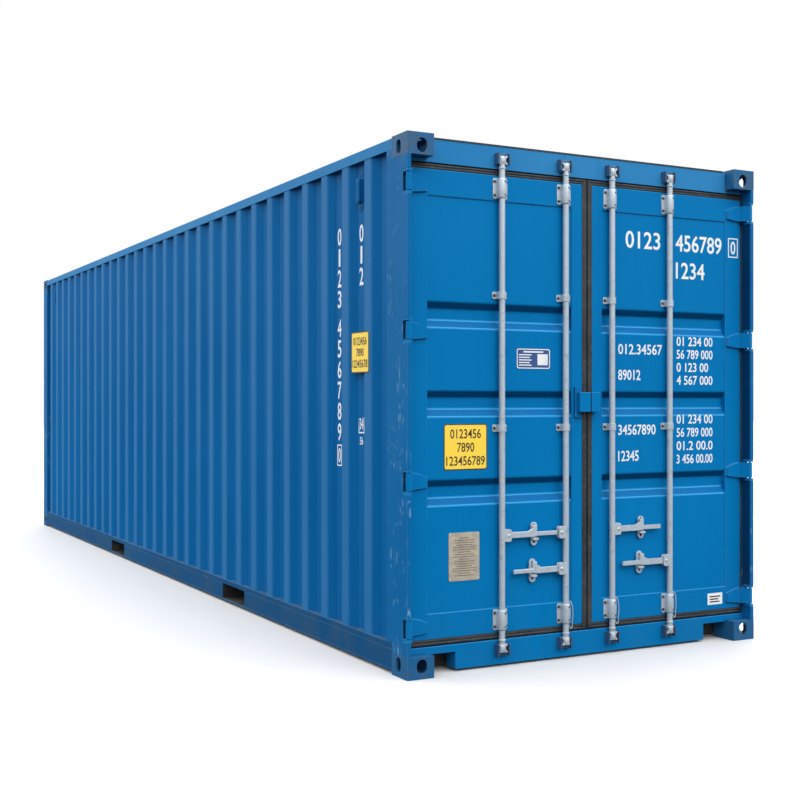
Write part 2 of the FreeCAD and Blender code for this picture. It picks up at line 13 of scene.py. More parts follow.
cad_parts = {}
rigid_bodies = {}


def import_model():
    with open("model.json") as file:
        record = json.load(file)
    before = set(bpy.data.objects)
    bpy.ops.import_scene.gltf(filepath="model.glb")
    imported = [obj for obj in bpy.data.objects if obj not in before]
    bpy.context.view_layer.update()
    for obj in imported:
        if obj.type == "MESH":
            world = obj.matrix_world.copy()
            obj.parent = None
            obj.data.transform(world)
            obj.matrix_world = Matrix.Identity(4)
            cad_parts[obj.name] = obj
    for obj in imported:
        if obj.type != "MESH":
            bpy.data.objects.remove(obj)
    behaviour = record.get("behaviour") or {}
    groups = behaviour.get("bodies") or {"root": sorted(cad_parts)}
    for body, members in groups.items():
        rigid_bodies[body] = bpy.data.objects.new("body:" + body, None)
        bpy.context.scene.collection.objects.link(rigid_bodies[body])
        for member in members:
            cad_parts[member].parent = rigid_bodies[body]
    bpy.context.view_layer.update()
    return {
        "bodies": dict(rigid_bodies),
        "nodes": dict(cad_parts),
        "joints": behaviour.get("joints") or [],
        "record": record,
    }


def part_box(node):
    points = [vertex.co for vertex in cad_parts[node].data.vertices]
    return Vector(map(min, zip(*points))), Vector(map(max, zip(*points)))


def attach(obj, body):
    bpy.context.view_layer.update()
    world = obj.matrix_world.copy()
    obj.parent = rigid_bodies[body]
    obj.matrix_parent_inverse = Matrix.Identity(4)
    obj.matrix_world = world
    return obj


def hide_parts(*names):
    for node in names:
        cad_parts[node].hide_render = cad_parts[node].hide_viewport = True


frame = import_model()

LOG = logging.getLogger("container")
Point = Sequence[float]
Pairs = Sequence[tuple[float, float]]
Colour = tuple[float, float, float]
Mesh = bpy.types.Mesh
Node = bpy.types.Node
Socket = bpy.types.NodeSocket
Material = bpy.types.Material
CONTAINER = "container"
SIDES = (("left", -1), ("right", 1))
SHEET_ANGLE = 4.0
SHEET_WALL = 0.002
MATERIALS: dict[str, Material] = {}


# Node trees
class NodeWork:
    """A node tree under construction, with short words for common nodes."""

    def __init__(self, tree: bpy.types.NodeTree) -> None:
        """Take a tree to work on."""
        self.tree = tree

    def add(self, kind: str, inputs: dict[Any, Any] | None = None, **settings: Any) -> Node:
        """Add a node.

        Args:
            kind: Blender's type name of the node.
            inputs: Values or sockets for its inputs, by name or index.
            settings: Other properties of the node.

        Returns:
            The new node.
        """
        node = self.tree.nodes.new(kind)
        for key, value in settings.items():
            setattr(node, key, value)
        for key, value in (inputs or {}).items():
            if isinstance(value, Socket):
                self.tree.links.new(value, node.inputs[key])
            else:
                node.inputs[key].default_value = value
        return node

    def out(self, kind: str, inputs: dict[Any, Any] | None = None, **settings: Any) -> Socket:
        """The first output of a new node."""
        return self.add(kind, inputs, **settings).outputs[0]

    def sum(self, kind: str, first: Any, second: Any = 0.0) -> Socket:
        """One arithmetic step on two values; `kind` is a Math operation."""
        return self.out("ShaderNodeMath", {0: first, 1: second}, operation=kind)

    def times(self, first: Any, second: Any) -> Socket:
        """The product of two values."""
        return self.sum("MULTIPLY", first, second)


# Node materials
class Sketch(NodeWork):
    """A node material under construction."""

    def __init__(self, name: str) -> None:
        """Start an empty material.

        Args:
            name: Name of the material.
        """
        self.material = bpy.data.materials.new("finish_" + name)
        self.material.use_nodes = True
        super().__init__(self.material.node_tree)
        self.shader = self.tree.nodes["Principled BSDF"]
        self.place = self.add("ShaderNodeTexCoord").outputs["Object"]

    def stretched(self, scale: Point, shift: Point = (0, 0, 0)) -> Socket:
        """Object coordinates scaled by axis and shifted."""
        node = self.add("ShaderNodeMapping", {"Vector": self.place, "Scale": scale, "Location": shift})
        return node.outputs[0]

    def noise(self, scale: float, detail: float = 3.0, rough: float = 0.55,
              where: Socket | None = None, warp: float = 0.0) -> Socket:
        """Cloudy value from 0 to 1.

        Args:
            scale: Number of clouds per metre, or per unit of `where`.
            detail: Octaves of finer clouds.
            rough: Strength of the finer clouds.
            where: Coordinates, the object's own when None.
            warp: Distortion of the clouds.

        Returns:
            The value's socket.
        """
        node = self.add("ShaderNodeTexNoise", {
            "Vector": where or self.place, "Scale": scale, "Detail": detail,
            "Roughness": rough, "Distortion": warp})
        return node.outputs[0]

    def span(self, value: Socket, low: float, high: float, to_low: float = 0.0,
             to_high: float = 1.0) -> Socket:
        """Clamped smooth step of a value between two limits.

        Args:
            value: The value.
            low: Where the step starts; it runs down when this is the higher limit.
            high: Where the step ends.
            to_low: Result at its start.
            to_high: Result at its end.

        Returns:
            The stepped value.
        """
        return self.out("ShaderNodeMapRange", {
            "Value": value, "From Min": low, "From Max": high, "To Min": to_low, "To Max": to_high},
            interpolation_type="SMOOTHSTEP")

    def blend(self, amount: Any, first: Any, second: Any) -> Socket:
        """Mix of two colours.

        Args:
            amount: Share of the second colour, from 0 to 1.
            first: Socket or red, green and blue.
            second: Socket or red, green and blue.

        Returns:
            The mixed colour.
        """
        first, second = (end if isinstance(end, Socket) else (*end, 1.0) for end in (first, second))
        inputs = {0: amount, 6: first, 7: second}
        return self.add("ShaderNodeMix", inputs, data_type="RGBA", clamp_factor=True).outputs[2]

    def split(self, vector: Socket) -> dict[str, Socket]:
        """The x, y and z parts of a vector."""
        node = self.add("ShaderNodeSeparateXYZ", {0: vector})
        return {"x": node.outputs[0], "y": node.outputs[1], "z": node.outputs[2]}

    def edges(self, radius: float, low: float, high: float) -> Socket:
        """Value that rises to 1 along outer and inner edges.

        Args:
            radius: Width of the edge in metres.
            low: Turn of the normal where it starts to rise.
            high: Turn of the normal where it reaches 1.

        Returns:
            The value.
        """
        soft = self.out("ShaderNodeBevel", {"Radius": radius}, samples=4)
        plain = self.add("ShaderNodeNewGeometry").outputs["Normal"]
        same = self.add("ShaderNodeVectorMath", {0: soft, 1: plain}, operation="DOT_PRODUCT").outputs["Value"]
        return self.span(self.sum("SUBTRACT", 1.0, same), low, high)

    def facing(self, way: float, low: float, high: float) -> Socket:
        """Value that rises to 1 where the surface faces up, or down when `way` is -1."""
        normal = self.add("ShaderNodeNewGeometry").outputs["Normal"]
        return self.span(self.times(self.split(normal)["z"], way), low, high)

    def hairline(self, cloud: Socket, wide: float) -> Socket:
        """Thin lines where a cloudy value crosses its middle."""
        away = self.sum("ABSOLUTE", self.sum("SUBTRACT", cloud, 0.5))
        return self.span(away, wide, wide * 0.35)

    def bump(self, steps: Iterable[tuple[Socket, float]]) -> None:
        """Add bumps to the shader.

        Args:
            steps: Pairs of a height value and its depth in metres.
        """
        last = None
        for height, depth in steps:
            inputs: dict[Any, Any] = {"Height": height, "Distance": depth, "Strength": 1.0}
            if last is not None:
                inputs["Normal"] = last
            last = self.out("ShaderNodeBump", inputs)
        if last is not None:
            self.tree.links.new(last, self.shader.inputs["Normal"])

    def wear(self, colour: Any, roughness: Any, **constants: float) -> Material:
        """Finish the material.

        Args:
            colour: Socket of the base colour.
            roughness: Socket of the roughness.
            constants: Plain numbers for the shader's other inputs, underscores for spaces.

        Returns:
            The material.
        """
        self.tree.links.new(colour, self.shader.inputs["Base Color"])
        self.tree.links.new(roughness, self.shader.inputs["Roughness"])
        for key, value in constants.items():
            self.shader.inputs[key.replace("_", " ")].default_value = value
        return self.material


@dataclass(frozen=True)
class Finish:
    """A finish that pieces can take; it builds its material once."""

    name: str

    def build(self) -> Material:
        """Build the node material."""
        raise NotImplementedError

    def material(self) -> Material:
        """The material of this finish, built on first use."""
        if self.name not in MATERIALS:
            MATERIALS[self.name] = self.build()
        return MATERIALS[self.name]


SOIL = (0.050, 0.085, 0.115)
# Painted shade for slopes that face up.
PAINTED_SLOPE_SHADE = (0.0005, 0.108, 0.310)
# Painted highlight for the bends just below those slopes.
PAINTED_BEND_HIGHLIGHT = (0.060, 0.370, 0.720)
# Painted shade for faces that look down.
PAINTED_UNDERSIDE_SHADE = (0.0003, 0.034, 0.115)
SETTLED_DUST = (0.20, 0.20, 0.19)
# Painted sheen for the outer crests of the side walls.
PAINTED_CREST_SHEEN = (0.030, 0.165, 0.385)
# Pale blue along edges: paint rubbed thin, and a painted highlight.
RUBBED_EDGE_AND_HIGHLIGHT = (0.045, 0.290, 0.590)
SCRATCHED = (0.230, 0.420, 0.560)
PAINT_RUST = (0.115, 0.038, 0.014)
CREST_BAND = (1.203, 1.212)


@dataclass(frozen=True)
class ContainerPaint(Finish):
    """Marine paint on steel: fading, rain streaks, road dust, chips, scratches and rust, plus painted shade
    on faces that look down and, where asked, painted shade and highlights on rib slopes and bends, a painted
    sheen on the side crests and a painted highlight along edges.
    """

    tone: Colour = (0.001, 0.150, 0.400)
    faded: Colour = (0.003, 0.180, 0.440)
    deep: Colour = (0.0005, 0.105, 0.300)
    worn: Colour = (0.080, 0.170, 0.290)
    gloss: float = 0.36
    fading: float = 0.6
    streaks: float = 0.35
    chips: float = 0.35
    scratches: float = 0.0
    # Edges lightened: partly paint rubbed thin, partly a painted highlight along them.
    rubbed: float = 0.3
    # Strength of the painted sheen on the outer crests of the side walls.
    crests: float = 0.0
    # Strength of the painted highlight on bends; when set, slopes that face up also get painted shade.
    bends: float = 0.0
    rust: float = 0.15
    dust: float = 0.3
    waves: float = 0.0006

    def build(self) -> Material:
        """Build the paint's node material."""
        s = Sketch(self.name)
        broad = s.noise(0.7, 3.0, 0.5)
        colour = s.blend(s.times(s.span(broad, 0.35, 0.72), self.fading), self.tone, self.faded)
        rain = s.noise(1.0, 4.0, 0.6, s.stretched((11, 11, 0.42)))
        colour = s.blend(s.times(s.span(rain, 0.5, 0.78), self.streaks), colour, self.deep)
        pale = s.noise(1.0, 3.0, 0.5, s.stretched((17, 17, 0.3), (3.1, 7.7, 1.3)))
        colour = s.blend(s.times(s.span(pale, 0.56, 0.8), self.streaks * 0.5), colour, self.faded)
        grain = s.noise(42.0, 5.0, 0.65)
        colour = s.blend(s.span(grain, 0.2, 0.9, 0.0, 0.16), colour, self.deep)
        height = s.split(s.place)["z"]
        low = s.span(height, 0.62, 0.02)
        soil = s.times(s.times(low, s.span(s.noise(5.0, 5.0, 0.6), 0.3, 0.75)), self.dust)
        colour = s.blend(soil, colour, SOIL)
        # Painted light on pressed ribs: slopes that face up are darkened as painted shade, and the bends
        # below them are lightened as a painted highlight.
        if self.bends:
            slope = s.facing(1.0, 0.42, 0.54)
            colour = s.blend(s.times(slope, 0.75), colour, PAINTED_SLOPE_SHADE)
            turn = s.times(s.facing(1.0, 0.06, 0.16), s.sum("SUBTRACT", 1.0, slope))
            colour = s.blend(s.times(turn, self.bends), colour, PAINTED_BEND_HIGHLIGHT)
        # Painted shade: faces that look down are darkened towards deep navy, as if in shadow.
        underside_shade = s.times(s.facing(-1.0, 0.22, 0.58), 0.72)
        colour = s.blend(underside_shade, colour, PAINTED_UNDERSIDE_SHADE)
        settled = s.times(s.facing(1.0, 0.45, 0.9), s.span(s.noise(9.0, 4.0), 0.25, 0.7, 0.2, 0.7))
        colour = s.blend(s.times(settled, self.dust), colour, SETTLED_DUST)
        # Painted sheen: the outer crests of the side walls are lightened and greyed, standing in for
        # reflected light at a glancing view.
        if self.crests:
            out = s.span(s.sum("ABSOLUTE", s.split(s.place)["x"]), *CREST_BAND)
            out = s.times(out, s.span(s.noise(1.0, 3.0, 0.5, s.stretched((3, 3, 0.6))), 0.2, 0.6, 0.6, 1.0))
            colour = s.blend(s.times(out, self.crests), colour, PAINTED_CREST_SHEEN)
        patch = s.noise(24.0, 6.0, 0.7)
        # Edges lightened, partly as paint rubbed thin and partly as a painted highlight along them.
        rim = s.edges(0.005, 0.004, 0.060)
        rub = s.times(rim, s.span(s.noise(3.0, 5.0, 0.6), 0.25, 0.6, 0.35, 1.0))
        colour = s.blend(s.times(rub, self.rubbed), colour, RUBBED_EDGE_AND_HIGHLIGHT)
        edge = s.times(rim, s.span(patch, 0.46, 0.6))
        chip = s.times(edge, self.chips)
        spots = s.times(s.span(s.noise(13.0, 7.0, 0.72), 0.66, 0.72),
                      s.span(s.noise(0.9, 2.0), 0.45, 0.7))
        chip = s.sum("MAXIMUM", chip, s.times(spots, self.chips * 0.5))
        if self.scratches:
            tall = s.noise(1.0, 1.5, 0.4, s.stretched((44, 44, 1.6)))
            lines = s.times(s.hairline(tall, 0.016), s.span(s.noise(9.5, 4.0), 0.55, 0.63))
            snarl = s.noise(1.0, 3.0, 0.6, s.stretched((20, 20, 9)))
            knots = s.times(s.span(s.noise(3.6, 3.0), 0.54, 0.62), s.span(height, 1.6, 0.8, 0.0, 0.8))
            lines = s.sum("MAXIMUM", lines, s.times(s.hairline(snarl, 0.010), knots))
            lines = s.times(lines, self.scratches)
            colour = s.blend(lines, colour, SCRATCHED)
        colour = s.blend(chip, colour, self.worn)
        pits = s.span(s.noise(30.0, 6.0, 0.75), 0.58, 0.66)
        corrode = s.times(s.times(pits, s.sum("MAXIMUM", edge, spots)), self.rust)
        colour = s.blend(corrode, colour, PAINT_RUST)
        rough = s.sum("ADD", s.span(grain, 0.2, 0.8, self.gloss - 0.05, self.gloss + 0.09),
                      s.times(s.sum("MAXIMUM", chip, soil), 0.28))
        s.bump(((s.noise(1.6, 2.0, 0.4), self.waves * 5), (s.noise(7.0, 2.0), self.waves),
                (s.noise(260.0, 2.0), 0.00006), (s.times(chip, -1.0), 0.0003)))
        return s.wear(colour, rough, IOR=1.12)


@dataclass(frozen=True)
class CastSteel(Finish):
    """Painted cast corner steel, rough and rubbed bare by lifting gear."""

    paint: Colour = (0.006, 0.105, 0.265)
    bare: Colour = (0.046, 0.105, 0.180)

    def build(self) -> Material:
        """Build the cast steel's node material."""
        s = Sketch(self.name)
        cloud = s.noise(14.0, 6.0, 0.68)
        bare = s.span(cloud, 0.40, 0.66)
        high = s.span(s.split(s.place)["z"], 0.5, 2.2, 0.35, 1.0)
        colour = s.blend(s.times(bare, high), self.paint, self.bare)
        edge = s.edges(0.008, 0.015, 0.2)
        worn = s.times(edge, s.span(s.noise(22.0, 5.0, 0.7), 0.42, 0.6))
        colour = s.blend(s.times(worn, 0.7), colour, (0.13, 0.17, 0.20))
        dark = s.times(edge, s.span(s.noise(16.0, 5.0, 0.7), 0.5, 0.62))
        colour = s.blend(s.times(dark, 0.8), colour, (0.035, 0.030, 0.028))
        pits = s.noise(34.0, 7.0, 0.75)
        rust = s.times(s.span(pits, 0.55, 0.66), s.span(s.noise(6.0, 3.0), 0.4, 0.62))
        low = s.span(s.split(s.place)["z"], 1.2, 0.0, 0.35, 0.95)
        colour = s.blend(s.times(rust, low), colour, (0.105, 0.040, 0.018))
        s.bump(((s.noise(60.0, 5.0, 0.6), 0.0007), (pits, 0.0009)))
        return s.wear(colour, s.span(cloud, 0.2, 0.8, 0.42, 0.66), IOR=1.3)


@dataclass(frozen=True)
class Galvanised(Finish):
    """Hot-dip zinc: crystal patches, dull film and grey scuffs."""

    light: Colour = (0.50, 0.575, 0.640)
    dark: Colour = (0.38, 0.455, 0.525)
    film: Colour = (0.40, 0.46, 0.52)
    metal: float = 0.30

    def build(self) -> Material:
        """Build the zinc's node material."""
        s = Sketch(self.name)
        crystal = s.add("ShaderNodeTexVoronoi", {"Vector": s.place, "Scale": 90.0}, feature="F1")
        patch = s.split(crystal.outputs["Color"])["x"]
        colour = s.blend(s.span(patch, 0.0, 1.0, 0.0, 0.45), self.light, self.dark)
        film = s.noise(1.0, 4.0, 0.6, s.stretched((16, 16, 3)))
        colour = s.blend(s.span(film, 0.42, 0.75, 0.0, 0.6), colour, self.film)
        grime = s.times(s.span(s.noise(20.0, 6.0, 0.7), 0.54, 0.74), 0.5)
        colour = s.blend(grime, colour, (0.15, 0.165, 0.175))
        rub = s.edges(0.003, 0.03, 0.25)
        colour = s.blend(s.times(rub, 0.5), colour, (0.72, 0.76, 0.80))
        rust = s.times(s.span(s.noise(26.0, 6.0, 0.75), 0.66, 0.74), 0.5)
        colour = s.blend(rust, colour, (0.16, 0.075, 0.035))
        s.bump(((s.noise(120.0, 4.0), 0.00022), (patch, 0.00005)))
        return s.wear(colour, s.span(film, 0.2, 0.8, 0.34, 0.52), Metallic=self.metal)


@dataclass(frozen=True)
class SealRubber(Finish):
    """Weathered black-brown rubber with dust in its grooves."""

    def build(self) -> Material:
        """Build the rubber's node material."""
        s = Sketch(self.name)
        cloud = s.noise(9.0, 5.0, 0.65)
        colour = s.blend(s.span(cloud, 0.3, 0.75), (0.010, 0.013, 0.018), (0.034, 0.040, 0.046))
        chalk = s.times(s.span(s.noise(46.0, 5.0, 0.7), 0.52, 0.72), 0.5)
        colour = s.blend(chalk, colour, (0.10, 0.10, 0.10))
        s.bump(((s.noise(150.0, 4.0), 0.00025),))
        return s.wear(colour, s.span(cloud, 0.2, 0.8, 0.55, 0.78))


@dataclass(frozen=True)
class Plywood(Finish):
    """Sealed hardwood plywood floor, grained across the boards and scuffed along them."""

    def build(self) -> Material:
        """Build the plywood's node material."""
        s = Sketch(self.name)
        grain = s.noise(1.0, 6.0, 0.65, s.stretched((2.2, 46, 8)), 0.6)
        colour = s.blend(s.span(grain, 0.3, 0.72), (0.110, 0.048, 0.022), (0.230, 0.120, 0.060))
        board = s.noise(0.8, 1.0, 0.5)
        colour = s.blend(s.span(board, 0.35, 0.7, 0.0, 0.5), colour, (0.30, 0.19, 0.115))
        scuff = s.noise(1.0, 5.0, 0.7, s.stretched((60, 1.2, 20)))
        colour = s.blend(s.times(s.span(scuff, 0.6, 0.7), 0.5), colour, (0.33, 0.25, 0.18))
        s.bump(((grain, 0.0004), (scuff, 0.0003)))
        return s.wear(colour, s.span(grain, 0.2, 0.8, 0.42, 0.62))


@dataclass(frozen=True)
class Underbody(Finish):
    """Dark wax coating on the beams below, dusted with road dirt."""

    def build(self) -> Material:
        """Build the coating's node material."""
        s = Sketch(self.name)
        cloud = s.noise(6.0, 6.0, 0.65)
        colour = s.blend(s.span(cloud, 0.35, 0.7), (0.012, 0.014, 0.018), (0.060, 0.055, 0.050))
        colour = s.blend(s.times(s.span(s.noise(28.0, 6.0), 0.55, 0.75), 0.5), colour, (0.10, 0.06, 0.035))
        s.bump(((s.noise(80.0, 5.0), 0.0006),))
        return s.wear(colour, s.span(cloud, 0.2, 0.8, 0.5, 0.8))


@dataclass(frozen=True)
class BarePlate(Finish):
    """Thin stamped alloy plate, stained and dulled by weather."""

    def build(self) -> Material:
        """Build the plate's node material."""
        s = Sketch(self.name)
        stain = s.noise(16.0, 6.0, 0.7)
        colour = s.blend(s.span(stain, 0.32, 0.7), (0.56, 0.50, 0.39), (0.36, 0.33, 0.28))
        brush = s.noise(1.0, 3.0, 0.6, s.stretched((8, 8, 420)))
        colour = s.blend(s.span(brush, 0.4, 0.7, 0.0, 0.25), colour, (0.62, 0.58, 0.50))
        s.bump(((brush, 0.00005), (stain, 0.0002)))
        return s.wear(colour, s.span(stain, 0.2, 0.8, 0.38, 0.62), Metallic=0.35)


@dataclass(frozen=True)
class Film(Finish):
    """Printed film or stencil paint on the steel, faded and scuffed."""

    tone: Colour = (0.86, 0.87, 0.86)
    aged: Colour = (0.62, 0.66, 0.70)
    rough: float = 0.42

    def build(self) -> Material:
        """Build the film's node material."""
        s = Sketch(self.name)
        cloud = s.noise(11.0, 6.0, 0.7)
        colour = s.blend(s.span(cloud, 0.45, 0.85, 0.0, 0.6), self.tone, self.aged)
        speck = s.times(s.span(s.noise(120.0, 4.0, 0.7), 0.62, 0.7), 0.35)
        colour = s.blend(speck, colour, self.aged)
        s.bump(((s.noise(200.0, 3.0), 0.00006),))
        return s.wear(colour, s.span(cloud, 0.2, 0.8, self.rough - 0.06, self.rough + 0.1))


@dataclass(frozen=True)
class PinSteel(Finish):
    """Plain steel pins, greased and lightly rusted."""

    def build(self) -> Material:
        """Build the pins' node material."""
        s = Sketch(self.name)
        cloud = s.noise(40.0, 5.0, 0.7)
        colour = s.blend(s.span(cloud, 0.4, 0.7), (0.060, 0.075, 0.095), (0.045, 0.028, 0.020))
        s.bump(((cloud, 0.0002),))
        return s.wear(colour, s.span(cloud, 0.2, 0.8, 0.40, 0.62), Metallic=0.3)


DOOR_PAINT = ContainerPaint("door_paint", tone=(0.0005, 0.160, 0.420), faded=(0.002, 0.190, 0.470),
                            deep=(0.0003, 0.112, 0.320), chips=0.25, rust=0.1, streaks=0.22, fading=0.5,
                            dust=0.12, rubbed=0.55, bends=0.8)
SIDE_PAINT = ContainerPaint("side_paint", tone=(0.001, 0.110, 0.325), faded=(0.003, 0.132, 0.365),
                            deep=(0.0005, 0.076, 0.245), gloss=0.42, streaks=0.5, chips=0.12, rust=0.05,
                            dust=0.12, waves=0.0009, rubbed=0.12, crests=0.8)
FRAME_PAINT = ContainerPaint("frame_paint", tone=(0.002, 0.122, 0.340), faded=(0.008, 0.150, 0.380),
                             deep=(0.001, 0.083, 0.250), gloss=0.42, chips=0.55, rust=0.5, scratches=0.9,
                             dust=0.15, rubbed=0.35)
# Darker copy of the frame paint: painted shade for the bottom rails, where less light reaches; the floor
# strip takes it too.
SHADED_RAIL_PAINT = ContainerPaint("shaded_rail_paint", tone=(0.002, 0.072, 0.205), faded=(0.006, 0.095, 0.250),
                            deep=(0.001, 0.048, 0.150), gloss=0.46, chips=0.4, rust=0.4, dust=0.5, rubbed=0.3)
# Lighter copy of the blue paint: painted light on the top rails and a painted highlight round the hinge
# blades; the header takes it too.
LIT_PAINT = ContainerPaint("lit_paint", tone=(0.020, 0.190, 0.440), faded=(0.045, 0.240, 0.500),
                           deep=(0.008, 0.140, 0.350), gloss=0.40, chips=0.4, rust=0.4, dust=0.4, rubbed=0.5)
# Dark navy paint standing in for shade, on strips inside the door posts.
SHADE_STRIP_PAINT = ContainerPaint("shade_strip_paint", tone=(0.0015, 0.040, 0.120), faded=(0.003, 0.055, 0.150),
                       deep=(0.001, 0.025, 0.085), gloss=0.5, chips=0.2, rust=0.2, dust=0.3, rubbed=0.1)
KEEPER = Galvanised("keeper_zinc", light=(0.055, 0.120, 0.220), dark=(0.020, 0.070, 0.160),
                    film=(0.020, 0.055, 0.120), metal=0.2)
CASTING = CastSteel("casting_steel")
ZINC = Galvanised("galvanised")
RUBBER = SealRubber("seal_rubber")
WOOD = Plywood("floor_wood")
UNDERBODY = Underbody("under_paint")
PLATE = BarePlate("plate_metal")
PIN = PinSteel("pin_steel")
VENT = ContainerPaint("vent_plastic", tone=(0.001, 0.105, 0.310), gloss=0.46, chips=0.0, rust=0.0)
WHITE_MARK = Film("white_mark", tone=(0.80, 0.83, 0.86), aged=(0.46, 0.58, 0.70))
YELLOW_FILM = Film("yellow_film", tone=(0.94, 0.66, 0.060), aged=(0.78, 0.55, 0.12))
DARK_MARK = Film("dark_mark", tone=(0.045, 0.036, 0.022), aged=(0.16, 0.11, 0.04))
STAMPING = Film("stamping", tone=(0.150, 0.120, 0.085), aged=(0.28, 0.24, 0.18))
BLUE_LABEL = Film("blue_label", tone=(0.020, 0.070, 0.230), aged=(0.04, 0.11, 0.30))


# Geometry node trees
class Growth(NodeWork):
    """A geometry node tree with named inputs that turns a seed mesh into a plain mesh."""

    def __init__(self, name: str, inputs: Sequence[tuple[str, str, Any]]) -> None:
        """Start a tree.

        Args:
            name: Name of the tree.
            inputs: Label, socket kind and default of each input.
        """
        super().__init__(bpy.data.node_groups.new(name, "GeometryNodeTree"))
        face = self.tree.interface
        face.new_socket(name="Seed", in_out="INPUT", socket_type="NodeSocketGeometry")
        for label, kind, default in inputs:
            socket = face.new_socket(name=label, in_out="INPUT", socket_type="NodeSocket" + kind)
            socket.default_value = default
        face.new_socket(name="Finish", in_out="INPUT", socket_type="NodeSocketMaterial")
        face.new_socket(name="Mesh", in_out="OUTPUT", socket_type="NodeSocketGeometry")
        self.inlet = self.tree.nodes.new("NodeGroupInput").outputs
        self.outlet = self.tree.nodes.new("NodeGroupOutput")

    def add(self, kind: str, inputs: dict[Any, Any] | None = None, **settings: Any) -> Node:
        """Add a node, as the base class does, but without "GeometryNode" before its kind."""
        prefix = "" if kind.startswith(("Shader", "Function")) else "GeometryNode"
        return super().add(prefix + kind, inputs, **settings)

    def vector(self, x: Any, y: Any, z: Any) -> Socket:
        """A vector from three values."""
        return self.out("ShaderNodeCombineXYZ", {0: x, 1: y, 2: z})

    def close(self, geometry: Socket) -> None:
        """End the tree in real instances with the finish set.

        Args:
            geometry: What the tree makes.
        """
        real = self.out("RealizeInstances", {0: geometry})
        dressed = self.out("SetMaterial", {"Geometry": real, "Material": self.inlet["Finish"]})
        self.tree.links.new(dressed, self.outlet.inputs[0])

    def grow(self, seed: Mesh, finish: Finish, **values: Any) -> Mesh:
        """Run the tree.

        Args:
            seed: Mesh whose points or edges the tree starts from.
            finish: Finish of what grows.
            values: Inputs by label, underscores for spaces.

        Returns:
            A plain mesh.
        """
        holder = bpy.data.objects.new("seed", seed)
        bpy.context.scene.collection.objects.link(holder)
        modifier = holder.modifiers.new("growth", "NODES")
        modifier.node_group = self.tree
        wanted = {key.replace("_", " "): value for key, value in values.items()}
        wanted["Finish"] = finish.material()
        for item in self.tree.interface.items_tree:
            if item.in_out == "INPUT" and item.name in wanted:
                modifier[item.identifier] = wanted.pop(item.name)
        assert not wanted, wanted
        bpy.context.view_layer.update()
        graph = bpy.context.evaluated_depsgraph_get()
        mesh = bpy.data.meshes.new_from_object(holder.evaluated_get(graph))
        bpy.data.objects.remove(holder)
        return mesh


class PressedSheet(Growth):
    """Sheet pressed into trapezoid waves with rounded bends.

    The waves run along +X from Start, their depth is along +Y and the sheet's height along +Z.
    """

    def __init__(self) -> None:
        """Build the tree."""
        super().__init__("pressed_sheet", [
            ("Start", "Float", 0.0), ("Stop", "Float", 1.0), ("First", "Float", 0.2),
            ("Pitch", "Float", 0.3), ("Count", "Int", 3), ("Flat", "Float", 0.08),
            ("Slope", "Float", 0.07), ("Low", "Float", 0.0), ("High", "Float", 0.036),
            ("Bend", "Float", 0.012), ("Bottom", "Float", 0.0), ("Top", "Float", 1.0),
            ("Rows", "Int", 12), ("Waviness", "Float", 0.0)])
        p = self.inlet
        count = self.sum("ADD", self.times(p["Count"], 4.0), 2.0)
        line = self.out("MeshLine", {"Count": count})
        index = self.out("InputIndex")
        step = self.sum("SUBTRACT", index, 1.0)
        wave = self.sum("FLOOR", self.sum("DIVIDE", step, 4.0))
        corner = self.sum("SUBTRACT", self.sum("SUBTRACT", step, self.times(wave, 4.0)), 1.5)
        outer = self.sum("GREATER_THAN", self.sum("ABSOLUTE", corner), 1.0)
        half = self.sum("ADD", self.times(p["Flat"], 0.5), self.times(p["Slope"], outer))
        along = self.sum("ADD", self.sum("ADD", p["First"], self.times(wave, p["Pitch"])),
                         self.times(self.sum("SIGN", corner), half))
        is_first = self.sum("LESS_THAN", index, 0.5)
        is_last = self.sum("GREATER_THAN", index, self.sum("SUBTRACT", count, 1.5))
        low = self.sum("MAXIMUM", outer, self.sum("MAXIMUM", is_first, is_last))
        depth = self.mix(low, p["High"], p["Low"])
        along = self.mix(is_last, self.mix(is_first, along, p["Start"]), p["Stop"])
        shaped = self.out("SetPosition", {"Geometry": line, "Position": self.vector(along, depth, 0.0)})
        curve = self.out("MeshToCurve", {0: shaped})
        curve = self.out("FilletCurve", {"Curve": curve, "Count": 3, "Radius": p["Bend"],
                                         "Limit Radius": True}, mode="POLY")
        size = self.add("AttributeDomainSize", {0: curve}, component="CURVE").outputs["Point Count"]
        grid = self.out("MeshGrid", {"Vertices X": size, "Vertices Y": p["Rows"]})
        column = self.sum("FLOOR", self.sum("DIVIDE", index, p["Rows"]))
        row = self.sum("SUBTRACT", index, self.times(column, p["Rows"]))
        place = self.out("InputPosition")
        spot = self.out("SampleIndex", {"Geometry": curve, "Value": place, "Index": column},
                        data_type="FLOAT_VECTOR", domain="POINT")
        share = self.sum("DIVIDE", row, self.sum("SUBTRACT", p["Rows"], 1.0))
        level = self.mix(share, p["Bottom"], p["Top"])
        lifted = self.out("ShaderNodeVectorMath", {0: spot, 1: self.vector(0.0, 0.0, level)}, operation="ADD")
        cloud = self.out("ShaderNodeTexNoise", {"Vector": lifted, "Scale": 1.7, "Detail": 1.0})
        middle = self.times(self.times(share, self.sum("SUBTRACT", 1.0, share)), 4.0)
        push = self.times(self.times(self.sum("SUBTRACT", cloud, 0.5), p["Waviness"]),
                        self.sum("MINIMUM", self.times(middle, 3.0), 1.0))
        moved = self.out("ShaderNodeVectorMath", {0: lifted, 1: self.vector(0.0, push, 0.0)}, operation="ADD")
        sheet = self.out("SetPosition", {"Geometry": grid, "Position": moved})
        self.close(self.out("SetShadeSmooth", {0: sheet}))

    def mix(self, amount: Any, first: Any, second: Any) -> Socket:
        """Value between two others by an amount from 0 to 1."""
        return self.out("ShaderNodeMix", {0: amount, 2: first, 3: second}, data_type="FLOAT")


class Head(Enum):
    """Kinds of fastener head."""

    HEX = "hex"
    DOME = "dome"


